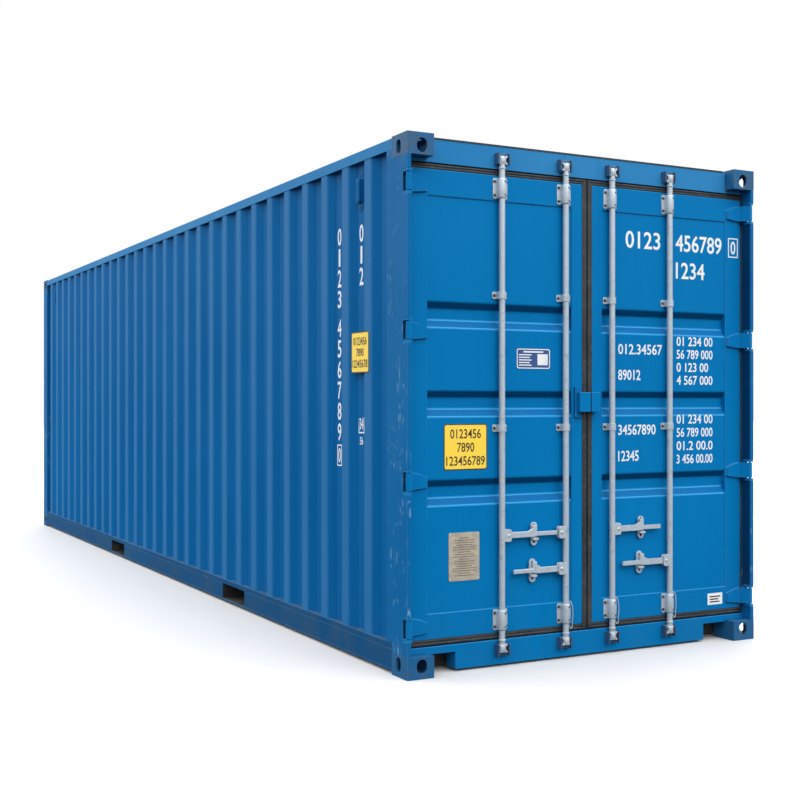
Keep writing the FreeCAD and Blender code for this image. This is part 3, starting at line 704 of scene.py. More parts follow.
class Fasteners(Growth):
    """A fastener head on every point of the seed, facing along its `facing` attribute."""

    def __init__(self, head: Head) -> None:
        """Build the tree for one kind of head.

        Args:
            head: Kind of head.
        """
        super().__init__("fasteners_" + head.value, [
            ("Radius", "Float", 0.008), ("Height", "Float", 0.006), ("Washer", "Float", 1.5),
            ("Seed Number", "Int", 7)])
        p = self.inlet
        half = self.times(p["Height"], 0.5)
        if head is Head.HEX:
            body = self.out("MeshCylinder", {"Vertices": 6, "Radius": p["Radius"], "Depth": p["Height"]})
            body = self.out("Transform", {"Geometry": body, "Translation": self.vector(0.0, 0.0, half)})
            cap = self.out("MeshCone", {
                "Vertices": 12, "Radius Top": self.times(p["Radius"], 0.55),
                "Radius Bottom": self.times(p["Radius"], 0.85),
                "Depth": self.times(p["Height"], 0.3)})
            cap = self.out("Transform", {"Geometry": cap, "Translation": self.vector(0.0, 0.0, p["Height"])})
            disc = self.out("MeshCylinder", {
                "Vertices": 14, "Radius": self.times(p["Radius"], p["Washer"]),
                "Depth": self.times(p["Height"], 0.5)})
            parts = [body, cap, disc]
        else:
            parts = []
            for wide_low, wide_top, low, high in ((1.0, 0.82, 0.0, 0.55), (0.82, 0.45, 0.55, 1.0)):
                ring = self.out("MeshCone", {
                    "Vertices": 12, "Radius Top": self.times(p["Radius"], wide_top),
                    "Radius Bottom": self.times(p["Radius"], wide_low),
                    "Depth": self.times(p["Height"], high - low)})
                parts.append(self.out("Transform", {
                    "Geometry": ring,
                    "Translation": self.vector(0.0, 0.0, self.times(p["Height"], low))}))
        joined = self.add("JoinGeometry")
        for part in parts:
            self.tree.links.new(part, joined.inputs[0])
        facing = self.out("InputNamedAttribute", {"Name": "facing"}, data_type="FLOAT_VECTOR")
        turn = self.out("FunctionNodeAlignRotationToVector", {"Vector": facing}, axis="Z")
        spread = {2: 0.0, 3: 6.28, "Seed": p["Seed Number"]}
        angle = self.add("FunctionNodeRandomValue", spread, data_type="FLOAT").outputs[1]
        spin = self.out("FunctionNodeEulerToRotation", {0: self.vector(0.0, 0.0, angle)})
        turn = self.out("FunctionNodeRotateRotation", {0: turn, 1: spin}, rotation_space="LOCAL")
        heads = self.out("InstanceOnPoints", {
            "Points": p["Seed"], "Instance": joined.outputs[0], "Rotation": turn})
        self.close(heads)


class WeldBead(Growth):
    """Uneven bead of weld along every edge path of the seed."""

    def __init__(self) -> None:
        """Build the tree."""
        super().__init__("weld_bead", [
            ("Radius", "Float", 0.004), ("Ripple", "Float", 0.007), ("Unevenness", "Float", 0.5)])
        p = self.inlet
        curve = self.out("MeshToCurve", {0: p["Seed"]})
        curve = self.out("ResampleCurve", {"Curve": curve, "Length": p["Ripple"]}, mode="LENGTH")
        place = self.out("InputPosition")
        cloud = self.out("ShaderNodeTexNoise", {"Vector": place, "Scale": 60.0, "Detail": 1.0})
        swell = self.sum("ADD", 1.0, self.times(self.sum("SUBTRACT", cloud, 0.5), p["Unevenness"]))
        curve = self.out("SetCurveRadius", {"Curve": curve, "Radius": swell})
        ring = self.out("CurvePrimitiveCircle", {"Resolution": 6, "Radius": p["Radius"]})
        bead = self.out("CurveToMesh", {
            "Curve": curve, "Profile Curve": ring, "Fill Caps": True, "Scale": swell})
        self.close(self.out("SetShadeSmooth", {0: bead}))


# Mesh helpers
def mesh_from(name: str, points: Sequence[Point], faces: Sequence[Sequence[int]],
              edges: Sequence[Sequence[int]] = ()) -> Mesh:
    """A mesh from points, faces and loose edges.

    Args:
        name: Name of the mesh.
        points: Its points.
        faces: Numbers of each face's points.
        edges: Numbers of each loose edge's points.

    Returns:
        The mesh.
    """
    mesh = bpy.data.meshes.new(name)
    mesh.from_pydata([tuple(p) for p in points], edges, faces)
    mesh.update()
    return mesh


def recalculated(mesh: Mesh, merge: float = 1e-5) -> Mesh:
    """The same mesh with its doubles merged and its faces pointing outwards.

    Args:
        mesh: Closed mesh.
        merge: Distance under which points are merged.

    Returns:
        The mesh given.
    """
    work = bmesh.new()
    work.from_mesh(mesh)
    bmesh.ops.remove_doubles(work, verts=work.verts, dist=merge)
    bmesh.ops.recalc_face_normals(work, faces=work.faces)
    work.to_mesh(mesh)
    work.free()
    return mesh


def box_mesh(low: Point, high: Point) -> Mesh:
    """A closed block between two corners, to be joined or bevelled.

    Args:
        low: Its lowest corner.
        high: Its highest corner.

    Returns:
        A closed mesh.
    """
    (x0, y0, z0), (x1, y1, z1) = low, high
    points = [(x, y, z) for x in (x0, x1) for y in (y0, y1) for z in (z0, z1)]
    faces = [(0, 1, 3, 2), (4, 6, 7, 5), (0, 4, 5, 1), (2, 3, 7, 6), (0, 2, 6, 4), (1, 5, 7, 3)]
    return mesh_from("block", points, faces)


def slab(outline: Pairs, low: float, high: float, axis: str) -> Mesh:
    """Closed outline swept between two levels of an axis.

    Args:
        outline: Corners in the two other axes, in their x, y, z order.
        low: Lower level.
        high: Upper level.
        axis: "x", "y" or "z".

    Returns:
        A closed mesh.
    """
    at = "xyz".index(axis)

    def lift(pair: tuple[float, float], level: float) -> list[float]:
        """A corner at a level of the axis."""
        point = list(pair)
        point.insert(at, level)
        return point
    points = [lift(p, low) for p in outline] + [lift(p, high) for p in outline]
    n = len(outline)
    faces = [tuple(range(n)), tuple(range(2 * n - 1, n - 1, -1))]
    faces += [(i, (i + 1) % n, (i + 1) % n + n, i + n) for i in range(n)]
    return recalculated(mesh_from("slab", points, faces))


def rounded(x0: float, x1: float, z0: float, z1: float, radius: float,
            steps: int = 4) -> list[tuple[float, float]]:
    """Outline of a rectangle with rounded corners.

    Args:
        x0: Left edge.
        x1: Right edge.
        z0: Lower edge.
        z1: Upper edge.
        radius: Radius of its corners, kept under half of each side.
        steps: Number of faces round a corner.

    Returns:
        Its corners in order.
    """
    radius = min(radius, (x1 - x0) / 2 - 1e-5, (z1 - z0) / 2 - 1e-5)
    outline = []
    for cx, cz, start in ((x1 - radius, z1 - radius, 0), (x0 + radius, z1 - radius, 90),
                          (x0 + radius, z0 + radius, 180), (x1 - radius, z0 + radius, 270)):
        for i in range(steps + 1):
            turn = math.radians(start + 90.0 * i / steps)
            outline.append((cx + radius * math.cos(turn), cz + radius * math.sin(turn)))
    return outline


def tile(x0: float, x1: float, z0: float, z1: float, radius: float, near: float, far: float,
         steps: int = 4) -> Mesh:
    """Flat block with rounded corners, facing along Y.

    Args:
        x0: Left edge.
        x1: Right edge.
        z0: Lower edge.
        z1: Upper edge.
        radius: Radius of its corners.
        near: Y of its front.
        far: Y of its back.
        steps: Number of faces round a corner.

    Returns:
        A closed mesh.
    """
    return slab(rounded(x0, x1, z0, z1, radius, steps), near, far, "y")


def circle(x: float, z: float, radius: float, steps: int = 14) -> list[tuple[float, float]]:
    """Outline of a circle."""
    return [(x + radius * math.cos(2 * math.pi * i / steps), z + radius * math.sin(2 * math.pi * i / steps))
            for i in range(steps)]


def pierced(outline: Pairs, holes: Sequence[Pairs],
            front: float, back: float) -> Mesh:
    """Plate in the XZ plane with holes through it.

    Args:
        outline: Corners of the plate.
        holes: Corners of each hole.
        front: Y of its front face.
        back: Y of its back face.

    Returns:
        A closed mesh.
    """
    work = bmesh.new()
    rims = []
    for loop in (outline, *holes):
        corners = [work.verts.new((x, front, z)) for x, z in loop]
        rims += [work.edges.new((corners[i], corners[(i + 1) % len(corners)])) for i in range(len(corners))]
    bmesh.ops.triangle_fill(work, use_beauty=True, use_dissolve=False, edges=rims)
    sheet = list(work.faces)
    made = bmesh.ops.extrude_face_region(work, geom=sheet, use_keep_orig=True)
    moved = [v for v in made["geom"] if isinstance(v, bmesh.types.BMVert)]
    bmesh.ops.translate(work, verts=moved, vec=(0.0, back - front, 0.0))
    bmesh.ops.recalc_face_normals(work, faces=work.faces)
    bmesh.ops.dissolve_limit(work, angle_limit=0.01, verts=work.verts, edges=work.edges)
    mesh = bpy.data.meshes.new("pierced")
    work.to_mesh(mesh)
    work.free()
    return mesh


def turned(x: float, y: float, rings: Pairs, steps: int = 24) -> Mesh:
    """Closed turned shape about an upright axis.

    Args:
        x: X of the axis.
        y: Y of the axis.
        rings: Level and radius of each ring, from the bottom up.
        steps: Number of sides.

    Returns:
        A closed mesh.
    """
    points = []
    for level, radius in rings:
        for i in range(steps):
            turn = 2 * math.pi * i / steps
            points.append((x + radius * math.cos(turn), y + radius * math.sin(turn), level))
    faces: list[Sequence[int]] = [tuple(range(steps - 1, -1, -1))]
    for k in range(len(rings) - 1):
        a, b = k * steps, (k + 1) * steps
        faces += [(a + i, a + (i + 1) % steps, b + (i + 1) % steps, b + i) for i in range(steps)]
    last = (len(rings) - 1) * steps
    faces.append(tuple(range(last, last + steps)))
    return mesh_from("turned", points, faces)


def numerals(text: str, left: float, base: float, high: float, wide: float, front: float) -> Mesh:
    """Plain painted numerals on a face that looks along -Y.

    Args:
        text: The numerals.
        left: X of the left edge.
        base: Z of the lower edge.
        high: Height of the numerals.
        wide: Width of the whole row.
        front: Y of the face they lie on.

    Returns:
        A thin closed mesh.
    """
    curve = bpy.data.curves.new("numerals", "FONT")
    curve.body = text
    curve.extrude = 0.0003
    curve.offset = 0.012
    curve.resolution_u = 3
    holder = bpy.data.objects.new("numerals", curve)
    bpy.context.scene.collection.objects.link(holder)
    bpy.context.view_layer.update()
    mesh = bpy.data.meshes.new_from_object(holder.evaluated_get(bpy.context.evaluated_depsgraph_get()))
    bpy.data.objects.remove(holder)
    xs = [v.co.x for v in mesh.vertices]
    ys = [v.co.y for v in mesh.vertices]
    across = wide / (max(xs) - min(xs))
    up = high / (max(ys) - min(ys))
    for v in mesh.vertices:
        v.co = (left + (v.co.x - min(xs)) * across, front - v.co.z - 0.0003, base + (v.co.y - min(ys)) * up)
    return recalculated(mesh)


def ring_sweep(low: tuple[float, float], high: tuple[float, float], reach: Sequence[float],
               profile: Pairs, front: float) -> Mesh:
    """Closed profile carried round a rectangle with mitred corners.

    Args:
        low: Lowest x and z of the inner rectangle.
        high: Highest x and z of the inner rectangle.
        reach: Width of the strip on the low x, high x, low z and high z sides.
        profile: Share of the width outwards and depth behind `front`, round the section.
        front: Y of the front plane.

    Returns:
        A closed mesh.
    """
    points = []
    for share, depth in profile:
        x0, x1 = low[0] - share * reach[0], high[0] + share * reach[1]
        z0, z1 = low[1] - share * reach[2], high[1] + share * reach[3]
        points += [(x, front + depth, z) for x, z in ((x0, z0), (x1, z0), (x1, z1), (x0, z1))]
    n = len(profile)
    faces = []
    for k in range(n):
        a, b = 4 * k, 4 * ((k + 1) % n)
        faces += [(a + i, a + (i + 1) % 4, b + (i + 1) % 4, b + i) for i in range(4)]
    return recalculated(mesh_from("ring", points, faces))


def thickened(mesh: Mesh, wall: float) -> Mesh:
    """An open sheet closed into a wall, its thickness given inwards.

    Args:
        mesh: Sheet whose faces point outwards.
        wall: Thickness.

    Returns:
        A closed mesh.
    """
    mesh.update()
    count = len(mesh.vertices)
    points = [v.co[:] for v in mesh.vertices] + [(v.co - v.normal * wall)[:] for v in mesh.vertices]
    outer = [tuple(p.vertices) for p in mesh.polygons]
    faces = outer + [tuple(i + count for i in reversed(f)) for f in outer]
    ways = {(f[i], f[(i + 1) % len(f)]) for f in outer for i in range(len(f))}
    faces += [(b, a, a + count, b + count) for a, b in sorted(ways) if (b, a) not in ways]
    return mesh_from("wall", points, faces)


def face_sheet(mesh: Mesh, outwards: Vector) -> None:
    """Turn an open sheet's faces to one side.

    Args:
        mesh: The sheet.
        outwards: Way that its faces are to look.
    """
    mesh.update()
    if sum((p.normal.dot(outwards) * p.area for p in mesh.polygons), 0.0) < 0:
        mesh.flip_normals()


def joined(name: str, parts: Iterable[Mesh]) -> Mesh:
    """Several meshes as one.

    Args:
        name: Name of the new mesh.
        parts: The meshes.

    Returns:
        A new mesh.
    """
    work = bmesh.new()
    for part in parts:
        work.from_mesh(part)
    mesh = bpy.data.meshes.new(name)
    work.to_mesh(mesh)
    work.free()
    return mesh


def seeds(points: Sequence[Point], facing: Point) -> Mesh:
    """Points that fasteners grow on, all facing one way.

    Args:
        points: The points.
        facing: Way that the heads look.

    Returns:
        A mesh of points alone.
    """
    mesh = mesh_from("seeds", points, [])
    attribute = mesh.attributes.new("facing", "FLOAT_VECTOR", "POINT")
    attribute.data.foreach_set("vector", [c for _ in points for c in facing])
    return mesh


def paths(lines: Sequence[Sequence[Point]]) -> Mesh:
    """Open edge paths that beads grow along.

    Args:
        lines: Points along each path.

    Returns:
        A mesh of edges alone.
    """
    points: list[Point] = []
    edges: list[tuple[int, int]] = []
    for line in lines:
        start = len(points)
        points += line
        edges += [(start + i, start + i + 1) for i in range(len(line) - 1)]
    return mesh_from("paths", points, [], edges)


# Workshop
@dataclass
class Workshop:
    """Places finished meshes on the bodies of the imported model."""

    packed: dict[str, Any]
    sheet: PressedSheet = field(default_factory=PressedSheet)
    bolts: Fasteners = field(default_factory=lambda: Fasteners(Head.HEX))
    rivets: Fasteners = field(default_factory=lambda: Fasteners(Head.DOME))
    welds: WeldBead = field(default_factory=WeldBead)

    def body(self, node: str) -> str:
        """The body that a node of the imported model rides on."""
        groups = self.packed["record"]["behaviour"]["bodies"]
        return next(name for name, nodes in groups.items() if node in nodes)

    def slot(self, node: str) -> str:
        """The material slot of a node in the record."""
        parts = self.packed["record"]["subparts"]
        return next(part["material_slot"] for part in parts if part["node"] == node)

    def piece(self, name: str, mesh: Mesh, finish: Finish, body: str, slot: str,
              replaces: Sequence[str] = (), bevel: float = 0.0, segments: int = 2,
              angle: float = 32.0, wall: float = 0.0) -> bpy.types.Object:
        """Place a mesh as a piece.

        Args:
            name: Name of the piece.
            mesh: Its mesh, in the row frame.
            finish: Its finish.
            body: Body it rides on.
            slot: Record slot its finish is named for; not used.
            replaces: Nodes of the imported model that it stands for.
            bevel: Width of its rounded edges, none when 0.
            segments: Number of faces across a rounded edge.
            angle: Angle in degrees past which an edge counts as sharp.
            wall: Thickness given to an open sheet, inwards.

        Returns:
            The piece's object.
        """
        if wall:
            mesh = thickened(mesh, wall)
        mesh.name = name
        mesh.materials.clear()
        mesh.materials.append(finish.material())
        mesh.polygons.foreach_set("material_index", [0] * len(mesh.polygons))
        item = bpy.data.objects.new(name, mesh)
        bpy.context.scene.collection.objects.link(item)
        mesh.polygons.foreach_set("use_smooth", [True] * len(mesh.polygons))
        mesh.set_sharp_from_angle(angle=math.radians(angle))
        if bevel:
            round_off = item.modifiers.new("edges", "BEVEL")
            round_off.width = bevel
            round_off.segments = segments
            round_off.limit_method = "ANGLE"
            round_off.angle_limit = math.radians(angle)
            round_off.harden_normals = True
        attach(item, body)
        if replaces:
            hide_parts(*replaces)
        LOG.info("%s rides on %s", name, body)
        return item

    def copy(self, node: str) -> Mesh:
        """A merged copy of a node's mesh with its flats made whole.

        Args:
            node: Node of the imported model.

        Returns:
            A new mesh.
        """
        work = bmesh.new()
        work.from_mesh(self.packed["nodes"][node].data)
        bmesh.ops.remove_doubles(work, verts=work.verts, dist=2e-5)
        bmesh.ops.dissolve_limit(work, angle_limit=math.radians(0.6), verts=work.verts, edges=work.edges)
        mesh = bpy.data.meshes.new(node)
        work.to_mesh(mesh)
        work.free()
        return mesh

    def dress(self, node: str, finish: Finish, bevel: float, segments: int = 2,
              angle: float = 32.0) -> bpy.types.Object:
        """Stand a copy with rounded edges in for a node.

        Args:
            node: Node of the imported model.
            finish: Finish of the copy.
            bevel: Width of the rounded edges.
            segments: Number of faces across a rounded edge.
            angle: Angle in degrees past which an edge is rounded.

        Returns:
            The copy's object.
        """
        return self.piece(node + "_skin", self.copy(node), finish, self.body(node), self.slot(node),
                          (node,), bevel, segments, angle)

    def grown(self, name: str, tree: Growth, seed: Mesh, finish: Finish, body: str, slot: str,
              **values: Any) -> None:
        """Grow a seed mesh through a tree and place what it makes.

        Args:
            name: Name of the piece.
            tree: Tree that the seed goes through.
            seed: Points or edge paths.
            finish: Finish of the piece.
            body: Body it rides on.
            slot: Record slot its finish is named for.
            values: Inputs of the tree by label, underscores for spaces.
        """
        self.piece(name, tree.grow(seed, finish, **values), finish, body, slot)

    def pressed(self, name: str, node: str, finish: Finish, place: Matrix, outwards: Point,
                **values: Any) -> None:
        """Stand a pressed sheet with rounded bends in for a node.

        Args:
            name: Name of the piece.
            node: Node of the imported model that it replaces.
            finish: Finish of the sheet.
            place: Turns the tree's axes to the container's.
            outwards: Way that its outer face looks.
            values: Inputs of the pressed sheet by label.
        """
        mesh = self.sheet.grow(mesh_from("none", [(0, 0, 0)], []), finish, **values)
        mesh.transform(place)
        face_sheet(mesh, Vector(outwards))
        self.piece(name, mesh, finish, self.body(node), self.slot(node), (node,),
                   angle=SHEET_ANGLE, wall=SHEET_WALL)


# Sub-assemblies
@dataclass
class Outside:
    """Overall sizes that several sub-assemblies share, in metres."""

    width: float = 2.438
    length: float = 9.125
    height: float = 2.896
    casting_long: float = 0.178
    casting_high: float = 0.118
    leaf_face: float = 0.076
    panel_face: float = 0.082
    hinge_levels: tuple[float, ...] = (0.266, 1.045, 1.848, 2.635)

    def door_y(self, depth: float) -> float:
        """Y of a plane at this depth behind the door end."""
        return -self.length / 2 + depth

    def front_y(self, depth: float) -> float:
        """Y of a plane at this depth behind the front end."""
        return self.length / 2 - depth

    def on_side(self, mesh: Mesh, side: int) -> Mesh:
        """Turn a mesh laid out flat onto a side wall.

        Args:
            mesh: Mesh with its X the distance from the door end times `side`, and its Y the inset.
            side: -1 for the left wall, 1 for the right one.

        Returns:
            The same mesh, in place.
        """
        mesh.transform(Matrix(((0, -side, 0, side * self.width / 2), (side, 0, 0, self.door_y(0)),
                               (0, 0, 1, 0), (0, 0, 0, 1))))
        return recalculated(mesh)


@dataclass
class EndFrames:
    """Corner castings, posts, header, sill and front rails."""

    shop: Workshop
    size: Outside
    strip_end: float = 0.18
    strip_levels: tuple[float, float] = (2.8835, 2.8935)
    strip_depths: tuple[float, float] = (0.0735, 0.078)
    # Place of the dark strips of painted shade inside the door posts.
    shade_strip_reach: tuple[float, float] = (1.1948, 1.1962)
    shade_strip_depths: tuple[float, float] = (0.010, 0.074)
    hinge_clear: float = 0.062
    weld_inset: float = 0.0016
    weld_end: float = 0.004

    def build(self) -> None:
        """Build every piece of the two end frames."""
        for node in ("castings_door_end", "castings_front_end"):
            self.shop.dress(node, CASTING, 0.008, 3)
        for node in ("door_post_left", "door_post_right", "front_posts"):
            self.shop.dress(node, FRAME_PAINT, 0.0035, 3)
        self.shop.dress("door_header", LIT_PAINT, 0.003)
        self.shop.dress("door_sill", DOOR_PAINT, 0.003)
        self.shop.dress("front_rails", FRAME_PAINT, 0.003)
        self.header_strip()
        self.casting_welds()
        self.post_shade_strips()

    def header_strip(self) -> None:
        """Lay a thin dark strip along the top of the header, over the doors, in the seal's rubber finish."""
        edge = self.size.width / 2 - self.strip_end
        near, far = (self.size.door_y(depth) for depth in self.strip_depths)
        strip = tile(-edge, edge, *self.strip_levels, 0.002, near, far)
        self.shop.piece("header_strip", strip, RUBBER, CONTAINER, "seal_rubber", (), 0.001, 1)

    def post_shade_strips(self) -> None:
        """Lay dark strips of painted shade on the inner faces of the door posts, between their hinge notches.
        """
        near, far = (self.size.door_y(depth) for depth in self.shade_strip_depths)
        levels = self.size.hinge_levels
        parts = []
        for _, side in SIDES:
            x0, x1 = sorted(side * reach for reach in self.shade_strip_reach)
            for below, above in zip(levels, levels[1:]):
                z0, z1 = below + self.hinge_clear, above - self.hinge_clear
                parts.append(box_mesh((x0, near, z0), (x1, far, z1)))
        self.shop.piece("post_shade_strips", joined("shade_strips", parts), SHADE_STRIP_PAINT, CONTAINER, "frame_paint", (),
                        0.0004, 1)

    def casting_welds(self) -> None:
        """Weld beads where the posts and the corner castings meet at both ends."""
        s = self.size
        stops = (self.weld_end, s.casting_long - self.weld_end)
        lines = []
        for _, side in SIDES:
            x = side * (s.width / 2 - self.weld_inset)
            for z in (s.casting_high, s.height - s.casting_high):
                for end in (s.door_y, s.front_y):
                    lines.append([(x, end(stop), z) for stop in stops])
        self.shop.grown("casting_welds", self.shop.welds, paths(lines), FRAME_PAINT, CONTAINER, "frame_paint",
                        Radius=0.0012)


@dataclass
class Walls:
    """Pressed side walls, front wall and roof, with their vents."""

    shop: Workshop
    size: Outside
    crests: int = 29
    first: float = 0.485
    last: float = 0.380
    flat: float = 0.076
    slope: float = 0.072
    deep: float = 0.036
    inset: float = 0.006
    bend: float = 0.016
    front_pitch: float = 0.250
    front_flat: float = 0.104
    front_slope: float = 0.018
    front_deep: float = 0.043
    roof_pitch: float = 0.209
    roof_flat: float = 0.091
    roof_slope: float = 0.0135
    roof_deep: float = 0.020
    cover_half: float = 0.026
    cover_levels: tuple[float, float] = (2.562, 2.783)
    hood_half: float = 0.023
    hood_levels: tuple[float, float] = (2.606, 2.745)
    slat_half: float = 0.017
    slat_levels: tuple[float, ...] = (2.618, 2.638, 2.658, 2.678, 2.698, 2.718)
    slat_high: float = 0.009
    screw_spots: tuple[tuple[float, float], ...] = ((0.0, 2.764), (0.009, 2.582), (-0.009, 2.582))

    def build(self) -> None:
        """Build the four pressed sheets and the vents."""
        for label, side in SIDES:
            self.side_wall(label, side)
        self.front_wall()
        self.roof()
        self.vents()

    def vents(self) -> None:
        """Build the vent covers in the end troughs of both walls, with their screws."""
        low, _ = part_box("side_vents")
        trough = self.inset + self.deep
        skin = trough - 0.004
        front = low.x + self.size.width / 2
        place = self.size.on_side
        covers, hoods, screws = [], [], []
        for _, side in SIDES:
            for along in (self.first + self.pitch / 2, self.first + (self.crests - 1.5) * self.pitch):
                c = side * along
                cover = tile(c - self.cover_half, c + self.cover_half, *self.cover_levels, 0.020, skin,
                             trough + 0.0005)
                hood = tile(c - self.hood_half, c + self.hood_half, *self.hood_levels, 0.010, front + 0.0025,
                            trough - 0.003)
                covers.append(place(joined("cover", [cover, hood]), side))
                slats = [tile(c - self.slat_half, c + self.slat_half, z, z + self.slat_high, 0.003, front,
                              front + 0.003) for z in self.slat_levels]
                hoods.append(place(joined("slats", slats), side))
                spots = [(c + dx, skin, z) for dx, z in self.screw_spots]
                screw = self.shop.bolts.grow(seeds(spots, (0, -1, 0)), PIN, Radius=0.0055, Height=0.004,
                                             Washer=1.4)
                screws.append(place(screw, side))
        self.shop.piece("vent_covers", joined("covers", covers), VENT, CONTAINER, "vent_plastic",
                        ("side_vents",), 0.0028, 2)
        self.shop.piece("vent_slats", joined("slats", hoods), VENT, CONTAINER, "vent_plastic", (), 0.001, 1)
        self.shop.piece("vent_screws", joined("screws", screws), PIN, CONTAINER, "galvanised")

    @property
    def pitch(self) -> float:
        """Distance between side crests."""
        return (self.size.length - self.first - self.last) / (self.crests - 1)

    def side_wall(self, label: str, side: int) -> None:
        """Build one side wall.

        Args:
            label: "left" or "right".
            side: -1 for the left wall, 1 for the right one.
        """
        node = "side_panel_" + label
        low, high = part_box(node)
        outer = self.size.width / 2 - self.inset - self.deep
        start = self.size.door_y(0)
        self.shop.pressed(
            "wall_" + label, node, SIDE_PAINT,
            Matrix(((0, side, 0, side * outer), (1, 0, 0, start), (0, 0, 1, 0), (0, 0, 0, 1))), (side, 0, 0),
            Start=low.y - start, Stop=high.y - start, First=self.first, Pitch=self.pitch, Count=self.crests,
            Flat=self.flat, Slope=self.slope, Low=0.0, High=self.deep, Bend=self.bend, Bottom=low.z,
            Top=high.z, Rows=26, Waviness=0.004)

    def front_wall(self) -> None:
        """Build the wall of the closed end."""
        low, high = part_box("front_panel")
        edge = high.x
        count = int((2 * edge - (self.front_flat / 2 + self.front_slope) / 2) / self.front_pitch)
        first = edge - (count - 1) * self.front_pitch / 2
        self.shop.pressed(
            "wall_front", "front_panel", SIDE_PAINT,
            Matrix(((1, 0, 0, -edge), (0, 1, 0, high.y - self.front_deep), (0, 0, 1, 0), (0, 0, 0, 1))),
            (0, 1, 0),
            Start=0.0, Stop=2 * edge, First=first, Pitch=self.front_pitch, Count=count, Flat=self.front_flat,
            Slope=self.front_slope, Low=self.front_deep, High=0.0, Bend=0.008, Bottom=low.z, Top=high.z,
            Rows=20, Waviness=0.002)

    def roof(self) -> None:
        """Build the roof."""
        low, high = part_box("roof_panel")
        run = high.y - low.y
        count = int((run - self.roof_pitch / 2) / self.roof_pitch)
        first = run / 2 - (count - 1) * self.roof_pitch / 2
        self.shop.pressed(
            "roof_sheet", "roof_panel", SIDE_PAINT,
            Matrix(((0, 0, 1, 0), (1, 0, 0, low.y), (0, 1, 0, high.z - self.roof_deep), (0, 0, 0, 1))),
            (0, 0, 1),
            Start=0.0, Stop=run, First=first, Pitch=self.roof_pitch, Count=count, Flat=self.roof_flat,
            Slope=self.roof_slope, Low=0.0, High=self.roof_deep, Bend=0.006, Bottom=low.x, Top=high.x,
            Rows=14, Waviness=0.0015)


@dataclass
class BaseFrame:
    """Side rails, fork pockets, crossmembers and floor."""

    shop: Workshop
    size: Outside
    board_rows: int = 8
    board_gap: float = 0.003
    strip_half: float = 0.025
    screw_edge: float = 0.05
    screw_end: float = 0.03
    screws_across: int = 5
    ring_count: int = 9
    ring_first: float = 0.78
    ring_pitch: float = 0.945
    ring_inset: float = 0.062
    ring_rise: float = 0.034
    ring_radius: float = 0.024

    def build(self) -> None:
        """Build every piece of the base."""
        # The top rails take the lighter paint, as painted light.
        self.shop.dress("top_side_rails", LIT_PAINT, 0.0025)
        # The bottom rails take the darker paint, as painted shade.
        for node in ("bottom_rail_tops", "bottom_rail_webs", "bottom_rail_feet"):
            self.shop.dress(node, SHADED_RAIL_PAINT, 0.0025)
        for node in ("pocket_cheeks", "pocket_plates"):
            self.shop.dress(node, UNDERBODY, 0.0015, 1)
        self.shop.dress("crossmembers", UNDERBODY, 0.0015, 1)
        self.floor_boards()
        self.lashing_rings()

    def floor_boards(self) -> None:
        """Lay plywood sheets in two rows with a steel strip between, and drive their screws."""
        low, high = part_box("floor")
        strip = self.strip_half
        long = (high.y - low.y) / self.board_rows
        boards, screws = [], []
        for row in range(self.board_rows):
            y0 = low.y + row * long + self.board_gap / 2
            y1 = low.y + (row + 1) * long - self.board_gap / 2
            for x0, x1 in ((low.x, -strip), (strip, high.x)):
                boards.append(box_mesh((x0, y0, low.z), (x1, y1, high.z)))
                for i in range(self.screws_across):
                    x = x0 + self.screw_edge + i * (x1 - x0 - 2 * self.screw_edge) / (self.screws_across - 1)
                    stops = (y0 + self.screw_end, (y0 + y1) / 2, y1 - self.screw_end)
                    screws += [(x, y, high.z - 0.0008) for y in stops]
        self.shop.piece("floor_boards", joined("boards", boards), WOOD, CONTAINER, "floor_wood", ("floor",),
                        0.0015, 1)
        rail = box_mesh((-strip + 0.002, low.y, low.z + 0.004), (strip - 0.002, high.y, high.z - 0.001))
        self.shop.piece("floor_strip", rail, SHADED_RAIL_PAINT, CONTAINER, "frame_paint", (), 0.001, 1)
        self.shop.grown("floor_screws", self.shop.rivets, seeds(screws, (0, 0, 1)), PIN, CONTAINER,
                        "galvanised", Radius=0.006, Height=0.0014)

    def lashing_rings(self) -> None:
        """Hang lashing rings along both walls above the floor."""
        _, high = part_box("floor")
        r = self.ring_radius
        turns = [math.radians(a) for a in range(0, 361, 30)]
        rings = []
        for _, side in SIDES:
            x = side * (self.size.width / 2 - self.ring_inset)
            for i in range(self.ring_count):
                y, z = self.size.door_y(self.ring_first + i * self.ring_pitch), high.z + self.ring_rise
                rings.append([(x, y + r * math.cos(a), z + r * math.sin(a)) for a in turns])
        self.shop.grown("lashing_rings", self.shop.welds, paths(rings), ZINC, CONTAINER, "galvanised",
                        Radius=0.005, Ripple=0.006, Unevenness=0.0)


